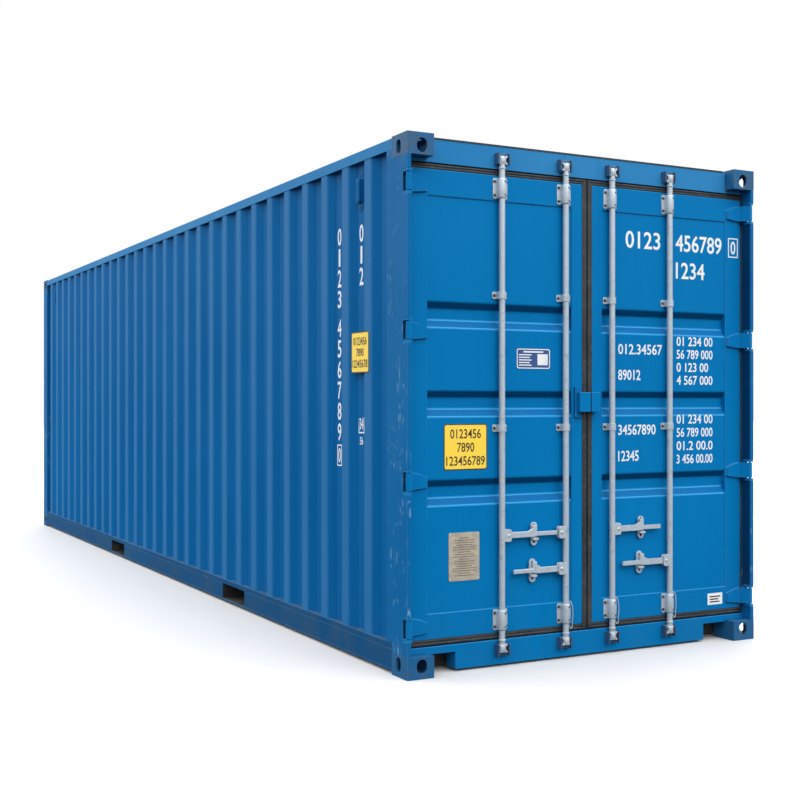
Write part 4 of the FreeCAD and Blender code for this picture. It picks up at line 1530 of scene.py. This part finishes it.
@dataclass
class Doors:
    """The two door leaves with their panels, seals, hinges and lock cover."""

    shop: Workshop
    size: Outside
    edge: float = 0.042
    centre: float = 0.022
    low: float = 0.190
    top: float = 2.722
    rib_first: float = 0.976
    rib_pitch: float = 0.483
    rib_flat: float = 0.062
    rib_slope: float = 0.039
    rib_deep: float = 0.030
    seal_thick: float = 0.020
    seal_reach: tuple[float, float, float, float] = (0.014, 0.0185, 0.035, 0.030)
    leaf_thick: float = 0.050
    rivet_count: int = 9
    rivet_first: float = 0.075
    rivet_pitch: float = 0.130
    rivet_edge: float = 0.018
    blade_tip: float = 0.156
    blade_root: float = 0.058
    plate_rows: int = 17
    plate_row_pitch: float = 0.0128
    plate_row_high: float = 0.0042
    plate_rivet: float = 0.010

    def build(self) -> None:
        """Build both leaves and the hinges between them and the posts."""
        for label, side in SIDES:
            self.shop.dress("door_frame_" + label, DOOR_PAINT, 0.003, 3)
            self.panel(label)
            self.seal(label, side)
            self.seal_rivets(label, side)
            self.hinges(label, side)
            self.shop.dress("lock_cover_" + label, DOOR_PAINT, 0.006, 3)
        self.shop.dress("lock_bracket", FRAME_PAINT, 0.002)
        self.shop.dress("hinge_lugs", DOOR_PAINT, 0.002)
        self.shop.dress("hinge_pins", DOOR_PAINT, 0.0015, 1)
        self.data_plate()

    def panel(self, label: str) -> None:
        """Build the ribbed panel of one leaf and weld it in.

        Args:
            label: "left" or "right".
        """
        node = "door_panel_" + label
        low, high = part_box(node)
        face = self.size.door_y(self.size.panel_face)
        self.shop.pressed(
            node + "_sheet", node, DOOR_PAINT,
            Matrix(((0, 0, 1, 0), (0, 1, 0, face), (1, 0, 0, 0), (0, 0, 0, 1))), (0, -1, 0),
            Start=low.z, Stop=high.z, First=self.rib_first, Pitch=self.rib_pitch, Count=3, Flat=self.rib_flat,
            Slope=self.rib_slope, Low=0.0, High=self.rib_deep, Bend=0.024, Bottom=low.x, Top=high.x, Rows=16,
            Waviness=0.0012)
        y = self.size.door_y(self.size.panel_face - 0.0005)
        beads = [[(low.x + 0.002, y, z), (high.x - 0.002, y, z)] for z in (low.z, high.z)]
        self.shop.grown(node + "_welds", self.shop.welds, paths(beads), DOOR_PAINT, label + "_door",
                        "door_paint", Radius=0.0032)

    def seal(self, label: str, side: int) -> None:
        """Build the double-lipped rubber round one leaf.

        Args:
            label: "left" or "right".
            side: -1 for the left leaf, 1 for the right one, which mirrors it.
        """
        x0, x1 = -self.size.width / 2 + self.edge, -self.centre
        front = self.size.door_y(self.size.leaf_face)
        profile = [(0.0, self.seal_thick), (0.0, 0.006), (0.08, 0.0015), (0.26, 0.0), (0.42, 0.0012),
                   (0.50, 0.0048), (0.58, 0.0016), (0.74, 0.0), (0.92, 0.0018), (1.0, 0.006),
                   (1.0, self.seal_thick)]
        mesh = ring_sweep((x0, self.low), (x1, self.top), self.seal_reach, profile, front)
        lip = tile(-self.centre - 0.013, -0.0045, self.low - 0.02, self.top + 0.015, 0.006, front - 0.0032,
                   front + 0.004)
        mesh = joined("seal", [mesh, lip])
        if side > 0:
            mesh.transform(Matrix.Scale(-1, 4, (1, 0, 0)))
            recalculated(mesh)
        self.shop.piece("door_seal_%s_rubber" % label, mesh, RUBBER, label + "_door", "seal_rubber",
                        ("door_seal_" + label,), 0.0012, 2, 25.0)

    def seal_rivets(self, label: str, side: int) -> None:
        """Rivet the seal's strip along the top and bottom of the back of a leaf.

        Args:
            label: "left" or "right".
            side: -1 for the left leaf, 1 for the right one.
        """
        back = self.size.door_y(self.size.leaf_face + self.leaf_thick) + 0.0002
        points = []
        for i in range(self.rivet_count):
            x = side * (self.rivet_first + i * self.rivet_pitch)
            points += [(x, back, z) for z in (self.low + self.rivet_edge, self.top - self.rivet_edge)]
        self.shop.grown("door_seal_%s_rivets" % label, self.shop.rivets, seeds(points, (0, 1, 0)), ZINC,
                        label + "_door", "galvanised", Radius=0.006, Height=0.003)

    def hinges(self, label: str, side: int) -> None:
        """Dress one leaf's blades and run a bead of weld round each, in the lighter paint, as a painted
        highlight round the blade.

        Args:
            label: "left" or "right".
            side: -1 for the left leaf, 1 for the right one.
        """
        self.shop.dress("hinge_blades_" + label, DOOR_PAINT, 0.003, 3)
        y = self.size.door_y(self.size.leaf_face) - 0.0005
        tip = self.size.width / 2 - self.blade_tip
        root = self.size.width / 2 - self.blade_root
        rim = ((root, -0.046), (tip + 0.04, -0.041), (tip, -0.034),
               (tip, 0.016), (tip + 0.04, 0.032), (root, 0.046))
        lines = [[(side * x, y, level + rise) for x, rise in rim] for level in self.size.hinge_levels]
        # The beads take the lighter paint, as a painted highlight round each blade.
        self.shop.grown("hinge_highlight_beads_" + label, self.shop.welds, paths(lines), LIT_PAINT, label + "_door",
                        "door_paint", Radius=0.0038)

    def data_plate(self) -> None:
        """Build the worn plate low on the left leaf, with blank engraved rows and its rivets."""
        low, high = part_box("data_plate")
        front = self.size.door_y(self.size.panel_face) - 0.003
        mesh = tile(low.x, high.x, low.z, high.z, 0.008, front, front + 0.003)
        self.shop.piece("data_plate_sheet", mesh, PLATE, "left_door", "plate_metal", ("data_plate",),
                        0.0006, 1)
        middle = (low.x + high.x) / 2
        widths = (0.060, 0.120, 0.150, 0.100, 0.135, 0.150, 0.080, 0.145, 0.120)
        bars = []
        for i in range(self.plate_rows):
            z = high.z - 0.032 - i * self.plate_row_pitch
            half = widths[(i * 4) % len(widths)] / 2
            bars.append(tile(middle - half, middle + half, z, z + self.plate_row_high, 0.001, front - 0.0004,
                             front + 0.0002, 1))
        self.shop.piece("data_plate_rows", joined("rows", bars), STAMPING, "left_door", "plate_metal")
        inset = self.plate_rivet
        levels = (low.z + inset, high.z - inset)
        points = [(x, front, z) for x in (low.x + inset, high.x - inset) for z in levels]
        self.shop.grown("data_plate_rivets", self.shop.rivets, seeds(points, (0, -1, 0)), ZINC, "left_door",
                        "galvanised", Radius=0.005, Height=0.002)


@dataclass
class LockGear:
    """Lock rods, handles, bearings, catches and keepers."""

    shop: Workshop
    size: Outside
    rods: tuple[float, ...] = (-0.596, -0.165, 0.165, 0.596)
    sides: tuple[int, ...] = (1, -1, 1, -1)
    levels: tuple[float, ...] = (0.727, 0.521, 0.727, 0.521)
    rod_radius: float = 0.017
    rod_depth: float = 0.052
    rod_low: float = 0.080
    rod_high: float = 2.828
    rod_end: Pairs = ((0.0, 0.009), (0.004, 0.014), (0.012, 0.0165))
    collars: tuple[float, float] = (0.040, -0.050)
    collar_radius: float = 0.0205
    cams: tuple[float, float] = (0.105, 2.805)
    housings: tuple[float, float] = (0.262, 2.650)
    housing_high: float = 0.116
    guides: tuple[float, float] = (1.322, 2.058)
    guide_high: float = 0.040
    base_half: float = 0.047
    base_thick: float = 0.006
    pivot: float = 0.038
    hub_half: float = 0.034
    hub_face: float = 0.0145
    catch_at: float = 0.221
    catch_half: float = 0.021
    catch_high: float = 0.132
    catch_hole: float = 0.0085
    catch_thick: float = 0.007
    stem: tuple[float, float] = (0.013, 0.040)
    shelf_half: float = 0.019
    shelf_drop: float = 0.023
    shelf_thick: float = 0.012

    def build(self) -> None:
        """Build the locking gear."""
        self.shop.dress("cam_keepers", KEEPER, 0.0025, 3)
        for number in range(4):
            self.rod(number)
            self.shop.dress("handle_%d" % (number + 1), ZINC, 0.0035, 3)
        for label, pair in (("left", (0, 1)), ("right", (2, 3))):
            self.bearings(label, pair)
            self.catches(label, pair)

    def rod(self, number: int) -> None:
        """Build one lock rod with its cams, collars, hub plates and rivet.

        Args:
            number: Place of the rod from the left, from 0.
        """
        x, side = self.rods[number], self.sides[number]
        y = self.size.door_y(self.rod_depth)
        r = self.rod_radius
        rings = [(self.rod_low + rise, radius) for rise, radius in self.rod_end]
        rings.append((self.rod_low + 0.02, r))
        for cam, away in zip(self.cams, self.collars):
            level = cam + away
            rings += [(level, r), (level + 0.001, self.collar_radius), (level + 0.009, self.collar_radius),
                      (level + 0.010, r)]
        rings.append((self.rod_high - 0.02, r))
        rings += [(self.rod_high - rise, radius) for rise, radius in reversed(self.rod_end)]
        parts = [turned(x, y, rings)]
        parts += [self.cam(x, y, side, level) for level in self.cams]
        levels = [self.levels[number]] + ([self.levels[0]] if number == 1 else [])
        x0, x1 = sorted((x - side * 0.004, x + side * 0.056))
        for level in levels:
            for turn in (-1, 1):
                near, far = sorted((y + turn * 0.0065, y + turn * self.hub_face))
                parts.append(tile(x0, x1, level - self.hub_half, level + self.hub_half, 0.013, near, far))
        name = "rod_%d" % (number + 1)
        body = "lock_" + name
        self.shop.piece(name + "_bar", joined(name, parts), ZINC, body, "galvanised", (name,), 0.0012, 2)
        points = [(x + side * self.pivot, y - self.hub_face, level) for level in levels]
        self.shop.grown(name + "_rivets", self.shop.rivets, seeds(points, (0, -1, 0)), ZINC, body,
                        "galvanised", Radius=0.0095, Height=0.006)

    def cam(self, x: float, y: float, side: int, level: float) -> Mesh:
        """A forged cam with two claws, longer on its hooking side.

        Args:
            x: X of the rod.
            y: Y of the rod.
            side: 1 when its claws reach towards +X, -1 when towards -X.
            level: Z of its middle.

        Returns:
            A mesh of its plate and hub.
        """
        upper_claw = [(0.006, 0.020), (0.020, 0.022), (0.029, 0.026), (0.030, 0.020), (0.026, 0.013),
                      (0.020, 0.008)]
        claw = upper_claw + [(0.019, 0.0)] + [(a, -b) for a, b in reversed(upper_claw)]
        lower_heel = [(-0.006, -0.020), (-0.015, -0.023), (-0.021, -0.022), (-0.020, -0.014),
                      (-0.018, -0.006)]
        heel = lower_heel + [(a, -b) for a, b in reversed(lower_heel)]
        outline = [(x + side * a, level + b) for a, b in claw + heel]
        plate = slab(outline, y - 0.0115, y + 0.0115, "y")
        hub = turned(x, y, [(level - 0.022, 0.0172), (level - 0.018, 0.0195), (level + 0.018, 0.0195),
                            (level + 0.022, 0.0172)], 20)
        return joined("cam", [plate, hub])

    def bearings(self, label: str, pair: Sequence[int]) -> None:
        """Build the housings and guides that hold two rods to one leaf, with their bolts.

        Args:
            label: "left" or "right".
            pair: The two rods of the leaf.
        """
        s = self.size
        y = s.door_y(self.rod_depth)
        seats = (
            (self.housings, s.door_y(s.leaf_face), self.housing_high / 2, 0.012, 0.002, 0.0255, 0.007),
            (self.guides, s.door_y(s.panel_face), self.guide_high / 2, 0.006, 0.0, 0.0235, 0.0))
        parts, bolts, studs = [], [], []
        for number in pair:
            x = self.rods[number]
            for levels, face, half, corner, short, radius, taper in seats:
                for level in levels:
                    base = rounded(x - self.base_half, x + self.base_half, level - half, level + half, corner)
                    parts.append(pierced(base, [], face - self.base_thick, face))
                    parts.append(self.saddle(x, y, face, level, half - short, radius, taper))
                    if taper:
                        bolts += [(x + dx, face - self.base_thick, level + dz)
                                  for dx in (-0.037, 0.037) for dz in (-0.038, 0.038)]
                        studs += [(x + 0.0089, y - 0.0209, level + dz) for dz in (-0.037, 0.037)]
                    else:
                        bolts += [(x + dx, face - self.base_thick, level) for dx in (-0.036, 0.036)]
        body = label + "_door"
        node = "rod_bearings_" + label
        self.shop.piece(node + "_cast", joined(node, parts), ZINC, body, "galvanised", (node,),
                        0.0016, 2, 40.0)
        self.shop.grown(node + "_bolts", self.shop.bolts, seeds(bolts, (0, -1, 0)), PIN, body, "galvanised",
                        Radius=0.0068, Height=0.0055, Washer=1.3)
        self.wires(label, pair)
        self.shop.grown(node + "_studs", self.shop.rivets, seeds(studs, (0.35, -0.94, 0)), PIN, body,
                        "galvanised", Radius=0.0064, Height=0.0010)

    def wires(self, label: str, pair: Sequence[int]) -> None:
        """Bend a thin retaining wire beside each lower housing of one leaf, but not the first.

        Args:
            label: "left" or "right".
            pair: The two rods of the leaf.
        """
        front = self.size.door_y(0.064)
        bends = ((-0.004, 0.0, 0.066), (0.012, 0.002, 0.058), (0.020, 0.003, 0.030),
                 (0.022, 0.003, -0.020), (0.016, 0.003, -0.062), (0.020, 0.002, -0.080),
                 (0.006, 0.002, -0.092), (-0.004, 0.0, -0.070))
        lines = []
        for number in pair:
            if number > 0:
                x, z = self.rods[number] + 0.034, self.housings[0]
                lines.append([(x + along, front - out, z + rise) for along, out, rise in bends])
        self.shop.grown("seal_wires_" + label, self.shop.welds, paths(lines), ZINC, label + "_door",
                        "galvanised", Radius=0.0024, Ripple=0.008, Unevenness=0.0)

    def saddle(self, x: float, y: float, face: float, level: float, half: float, radius: float,
               taper: float) -> Mesh:
        """Rounded cover over a rod, from the door face to just in front of the rod.

        Args:
            x: X of the rod.
            y: Y of the rod.
            face: Y of the face it stands on.
            level: Z of its middle.
            half: Half its height.
            radius: Half its width.
            taper: Height of the narrowing at both ends, none when 0.

        Returns:
            A closed mesh.
        """
        def section(grow: float, z: float) -> list[Point]:
            """One cross-section, grown or shrunk, at a level."""
            r = radius + grow
            turns = [math.radians(180 + 15 * i) for i in range(13)]
            arc = [(x + r * math.cos(a), y + 0.002 + r * 0.96 * math.sin(a), z) for a in turns]
            return [(x - r, face, z), *arc, (x + r, face, z)]

        cuts = [(-0.0045, 0.0), (-0.0012, taper * 0.4), (0.0, taper)] if taper else [(0.0, 0.0)]
        rows = [section(grow, level - half + rise) for grow, rise in cuts]
        rows += [section(grow, level + half - rise) for grow, rise in reversed(cuts)]
        n = len(rows[0])
        points = [p for row in rows for p in row]
        faces: list[Sequence[int]] = [tuple(range(n)), tuple(range(len(points) - 1, len(points) - n - 1, -1))]
        for k in range(len(rows) - 1):
            a, b = k * n, (k + 1) * n
            faces += [(a + i, a + (i + 1) % n, b + (i + 1) % n, b + i) for i in range(n)]
        return recalculated(mesh_from("saddle", points, faces))

    def catches(self, label: str, pair: Sequence[int]) -> None:
        """Build the pierced plates that cradle the stowed handles of one leaf.

        Args:
            label: "left" or "right".
            pair: The two rods of the leaf.
        """
        s = self.size
        front = s.door_y(self.rod_depth + 0.012)
        back = s.door_y(s.panel_face)
        shelf = s.door_y(self.rod_depth - 0.006)
        plate_back = front + self.catch_thick
        straight = self.catch_high / 2 - self.catch_half
        stem_half, stem_rise = self.stem
        parts = []
        for number in pair:
            x = self.rods[number] + self.sides[number] * self.catch_at
            level = self.levels[number]
            outline = rounded(x - self.catch_half, x + self.catch_half, level - self.catch_high / 2,
                              level + self.catch_high / 2, self.catch_half, 6)
            holes = [circle(x, level + end * straight, self.catch_hole) for end in (-1, 1)]
            parts.append(pierced(outline, holes, front, plate_back))
            parts.append(tile(x - stem_half, x + stem_half, level - stem_rise, level + stem_rise, 0.006,
                              plate_back, back))
            low = level - self.shelf_drop
            x0, x1, under = x - self.shelf_half, x + self.shelf_half, low - self.shelf_thick
            parts.append(tile(x0, x1, under, low, 0.004, shelf, front))
            parts.append(tile(x0, x1, under, low - 0.001, 0.004, shelf - 0.003, shelf))
        node = "handle_catches_" + label
        self.shop.piece(node + "_plate", joined(node, parts), ZINC, label + "_door", "galvanised", (node,),
                        0.0014, 2, 40.0)


@dataclass
class Markings:
    """Plain numerals, blank plates and blank labels."""

    shop: Workshop
    size: Outside
    side_inset: float = 0.042
    crest_inset: float = 0.006
    film: float = 0.0012
    long_column: float = 0.9275
    short_column: float = 0.6325
    column_pitch: float = 0.1235
    plate_middle: float = 0.575
    plate_half: float = 0.110
    plate_levels: tuple[float, float] = (1.634, 1.865)

    def build(self) -> None:
        """Put every mark on the doors and the side walls."""
        self.door_numerals()
        self.yellow_plate()
        self.blue_label()
        self.white_label()
        for label, side in SIDES:
            self.side_numerals(label, side)
            self.side_plate(label, side)

    def box_frame(self, x0: float, x1: float, z0: float, z1: float, front: float,
                  line: float = 0.007) -> Mesh:
        """Painted outline of a box on a face that looks along -Y.

        Args:
            x0: Left edge.
            x1: Right edge.
            z0: Lower edge.
            z1: Upper edge.
            front: Y of the face.
            line: Width of the line.

        Returns:
            A thin closed mesh.
        """
        inner = rounded(x0 + line, x1 - line, z0 + line, z1 - line, 0.001, 1)
        return pierced(rounded(x0, x1, z0, z1, 0.002, 1), [inner], front - 0.0004, front + 0.0002)

    def centred(self, middle: float, rows: Sequence[tuple[str, float, float]], high: float,
                front: float) -> list[Mesh]:
        """Rows of numerals about one upright line.

        Args:
            middle: X of the line.
            rows: Numerals, base and width of each row.
            high: Height of the numerals.
            front: Y of the face they lie on.

        Returns:
            A mesh for each row.
        """
        return [numerals(text, middle - wide / 2, base, high, wide, front) for text, base, wide in rows]

    def door_numerals(self) -> None:
        """Paint the numerals of the right leaf."""
        face = self.size.door_y(self.size.panel_face)
        rows = [("0123", 0.286, 2.377, 0.103, 0.262), ("456789", 0.666, 2.377, 0.103, 0.366),
                ("1234", 0.668, 2.212, 0.100, 0.226)]
        for z, text, wide in ((1.748, "012.34567", 0.330), (1.596, "89012", 0.165),
                              (1.272, "34567890", 0.280), (1.118, "12345", 0.152)):
            rows.append((text, 0.232, z, 0.062, wide))
        blocks = ((("01 234 00", "56 789 000", "0 123 00", "4 567 000"), 1.806, 0.0785, (2,)),
                  (("01 234 00", "56 789 000", "01.2 00.0", "3 456 00.00"), 1.335, 0.0805, ()))
        for block, top, pitch, shorter in blocks:
            for i, text in enumerate(block):
                rows.append((text, 0.674, top - i * pitch, 0.056, 0.250 if i in shorter else 0.285))
        parts = [numerals(text, left, z, high, wide, face) for text, left, z, high, wide in rows]
        leaf = self.size.door_y(self.size.leaf_face)
        parts.append(self.box_frame(1.080, 1.160, 2.363, 2.484, leaf))
        parts.append(numerals("0", 1.100, 2.383, 0.081, 0.040, leaf))
        self.shop.piece("door_numerals", joined("numerals", parts), WHITE_MARK, "right_door", "door_paint")

    def yellow_plate(self) -> None:
        """Put the yellow plate on the left leaf, with its rim and plain numerals."""
        face = self.size.door_y(self.size.panel_face)
        panel = tile(-0.950, -0.677, 1.098, 1.346, 0.012, face - self.film, face + 0.0002)
        self.shop.piece("door_plate_yellow", panel, YELLOW_FILM, "left_door", "plate_metal", (), 0.0004, 1)
        rim = pierced(rounded(-0.952, -0.675, 1.096, 1.348, 0.013),
                      [rounded(-0.946, -0.681, 1.102, 1.342, 0.010)], face - 0.0014, face - 0.0002)
        rows = (("0123456", 1.268, 0.196), ("7890", 1.194, 0.110), ("123456789", 1.120, 0.246))
        bars = self.centred(-0.8135, rows, 0.052, face - self.film)
        self.shop.piece("door_plate_marks", joined("marks", [rim, *bars]), DARK_MARK, "left_door",
                        "plate_metal")

    def blue_label(self) -> None:
        """Put the blue label on the left leaf, with its rim and blank bars."""
        face = self.size.door_y(self.size.panel_face)
        near, far = face - 0.0011, face - 0.0006
        label = tile(-0.482, -0.252, 1.653, 1.770, 0.014, face - 0.0008, face + 0.0002)
        self.shop.piece("door_label_blue", label, BLUE_LABEL, "left_door", "plate_metal")
        parts = [pierced(rounded(-0.479, -0.255, 1.656, 1.767, 0.012),
                         [rounded(-0.474, -0.260, 1.661, 1.762, 0.009)], near, far),
                 tile(-0.340, -0.270, 1.676, 1.738, 0.002, near, far),
                 tile(-0.435, -0.300, 1.746, 1.754, 0.001, near, far)]
        for i in range(5):
            z = 1.730 - i * 0.0145
            parts.append(tile(-0.466, -0.380 - 0.012 * (i % 2), z, z + 0.006, 0.001, near, far))
        self.shop.piece("door_label_marks", joined("marks", parts), WHITE_MARK, "left_door", "plate_metal")

    def white_label(self) -> None:
        """Put the white label low on the right leaf, with its blank bars."""
        front = self.size.door_y(self.size.leaf_face)
        label = tile(0.914, 1.032, 0.221, 0.291, 0.004, front - 0.0008, front + 0.0002)
        self.shop.piece("door_label_white", label, WHITE_MARK, "right_door", "plate_metal")
        bars = [tile(0.930, 0.930 + wide, z, z + 0.008, 0.001, front - 0.0011, front - 0.0006)
                for z, wide in ((0.266, 0.086), (0.250, 0.070), (0.234, 0.080))]
        self.shop.piece("door_label_rows", joined("marks", bars), DARK_MARK, "right_door", "plate_metal")

    def column(self, text: str, middle: float, top: float, high: float) -> list[Mesh]:
        """One upright column of numerals on a wall, drawn close after its first half.

        Args:
            text: The numerals from the top down, with a space for a gap.
            middle: X of the column, laid out flat.
            top: Base of the uppermost numeral.
            high: Height of the numerals.

        Returns:
            A mesh for each numeral.
        """
        parts = []
        for i, figure in enumerate(text):
            if figure != " ":
                steps = i - (0.62 if i > 4 else 0.0)
                wide = 0.022 if figure == "1" else 0.050
                parts.append(numerals(figure, middle - wide / 2, top - steps * self.column_pitch, high, wide,
                                      self.side_inset))
        return parts

    def side_numerals(self, label: str, side: int) -> None:
        """Paint the two upright columns of numerals on one wall.

        Args:
            label: "left" or "right".
            side: -1 for the left wall, 1 for the right one.
        """
        deep = self.side_inset
        x = side * self.long_column
        parts = self.column("0123 456789", x, 2.395, 0.104)
        parts.append(self.box_frame(x - 0.031, x + 0.031, 1.087, 1.214, deep))
        parts.append(numerals("0", x - 0.017, 1.108, 0.086, 0.034, deep))
        x = side * self.short_column
        parts += self.column("012", x, 2.384, 0.102)
        parts.append(self.box_frame(x - 0.0365, x + 0.0365, 1.288, 1.398, deep))
        parts.append(numerals("34", x - 0.023, 1.310, 0.066, 0.046, deep))
        parts.append(numerals("56", x - 0.020, 1.222, 0.046, 0.040, deep))
        mesh = self.size.on_side(joined("numerals", parts), side)
        self.shop.piece("side_numerals_" + label, mesh, WHITE_MARK, CONTAINER, "side_paint")

    def side_plate(self, label: str, side: int) -> None:
        """Hang the yellow plate, with plain numerals, across the first trough of one wall.

        Args:
            label: "left" or "right".
            side: -1 for the left wall, 1 for the right one.
        """
        mid, half = side * self.plate_middle, self.plate_half
        low, top = self.plate_levels
        front = self.crest_inset - self.film
        plate = tile(mid - half, mid + half, low, top, 0.010, front - 0.001, front + 0.0005)
        self.shop.piece("side_plate_" + label, self.size.on_side(plate, side), YELLOW_FILM, CONTAINER,
                        "plate_metal", (), 0.0004, 1)
        rim = pierced(rounded(mid - half - 0.001, mid + half + 0.001, low - 0.001, top + 0.001, 0.011),
                      [rounded(mid - half + 0.005, mid + half - 0.005, low + 0.005, top - 0.005, 0.008)],
                      front - 0.0014, front - 0.0008)
        rows = (("0123456", 1.790, 0.170), ("7890", 1.726, 0.096), ("12345678", 1.662, 0.190))
        bars = self.centred(mid, rows, 0.046, front - self.film)
        mesh = self.size.on_side(joined("marks", [rim, *bars]), side)
        self.shop.piece("side_plate_marks_" + label, mesh, DARK_MARK, CONTAINER, "plate_metal")


# Studio
@dataclass
class Studio:
    """Camera, soft lights and a plain pale floor."""

    lens: float = 54.53
    yaw: float = -27.969
    spot: Point = (-4.240, -10.1685, 1.473)
    rise: float = 0.00125
    below: float = 0.14
    above: float = 2.6
    floor_reach: float = 60.0
    floor_level: float = -0.0005

    def build(self) -> None:
        """Set the camera, the lights and the floor."""
        data = bpy.data.cameras.new("camera")
        data.lens = self.lens
        data.sensor_width = 36.0
        data.shift_y = self.rise
        data.clip_end = 200.0
        camera = bpy.data.objects.new("camera", data)
        camera.location = self.spot
        camera.rotation_euler = (math.radians(90.0), 0.0, math.radians(self.yaw))
        bpy.context.scene.collection.objects.link(camera)
        bpy.context.scene.camera = camera
        self.sky()
        self.soft_box("key", (1.5, -14.0, 9.0), (0.3, -3.0, 1.2), 7.0, 420.0)
        self.soft_box("side_fill", (-12.0, 7.0, 5.5), (-1.2, 0.5, 1.4), 6.0, 420.0)
        self.floor()
        bpy.context.scene.view_settings.view_transform = "Standard"
        bpy.context.scene.view_settings.look = "None"

    def sky(self) -> None:
        """Plain white surroundings that light mostly from above."""
        world = bpy.data.worlds.new("studio")
        world.use_nodes = True
        work = NodeWork(world.node_tree)
        place = work.add("ShaderNodeTexCoord").outputs["Generated"]
        height = work.add("ShaderNodeSeparateXYZ", {0: place}).outputs[2]
        rise = work.out("ShaderNodeMapRange", {
            "Value": height, "From Min": -0.25, "From Max": 0.9, "To Min": self.below, "To Max": self.above},
            interpolation_type="SMOOTHSTEP")
        seen = work.add("ShaderNodeLightPath").outputs["Is Camera Ray"]
        mix = work.out("ShaderNodeMix", {0: seen, 2: rise, 3: 1.0})
        back = work.tree.nodes["Background"]
        work.tree.links.new(mix, back.inputs["Strength"])
        back.inputs["Color"].default_value = (1.0, 1.0, 1.0, 1.0)
        bpy.context.scene.world = world

    def soft_box(self, name: str, spot: Point, aim: Point, wide: float, power: float) -> None:
        """Add a square area light.

        Args:
            name: Name of the light.
            spot: Its place.
            aim: Point that it faces.
            wide: Side of the square.
            power: Power in watts.
        """
        data = bpy.data.lights.new(name, "AREA")
        data.size = wide
        data.energy = power
        lamp = bpy.data.objects.new(name, data)
        lamp.location = spot
        lamp.rotation_euler = (Vector(aim) - Vector(spot)).to_track_quat("-Z", "Y").to_euler()
        bpy.context.scene.collection.objects.link(lamp)

    def floor(self) -> None:
        """Add the floor, which isn't part of the container."""
        reach, level = self.floor_reach, self.floor_level
        corners = [(x * reach, y * reach, level) for x, y in ((-1, -1), (1, -1), (1, 1), (-1, 1))]
        mesh = mesh_from("studio_floor", corners, [(0, 1, 2, 3)])
        s = Sketch("studio_floor")
        tint = s.blend(s.noise(0.4, 2.0), (0.62, 0.62, 0.62), (0.64, 0.64, 0.64))
        s.wear(tint, s.span(s.noise(3.0, 3.0), 0.2, 0.8, 0.55, 0.65))
        mesh.materials.append(s.material)
        item = bpy.data.objects.new("studio_floor", mesh)
        bpy.context.scene.collection.objects.link(item)
        item.visible_diffuse = False
        item.visible_glossy = False


def main() -> None:
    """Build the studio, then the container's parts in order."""
    logging.basicConfig(level=logging.INFO, format="%(name)s: %(message)s")
    size = Outside()
    shop = Workshop(frame)
    Studio().build()
    for part in (EndFrames, Walls, BaseFrame, Doors, LockGear, Markings):
        LOG.info("building %s", part.__name__)
        part(shop, size).build()


if __name__ == "__main__":
    main()
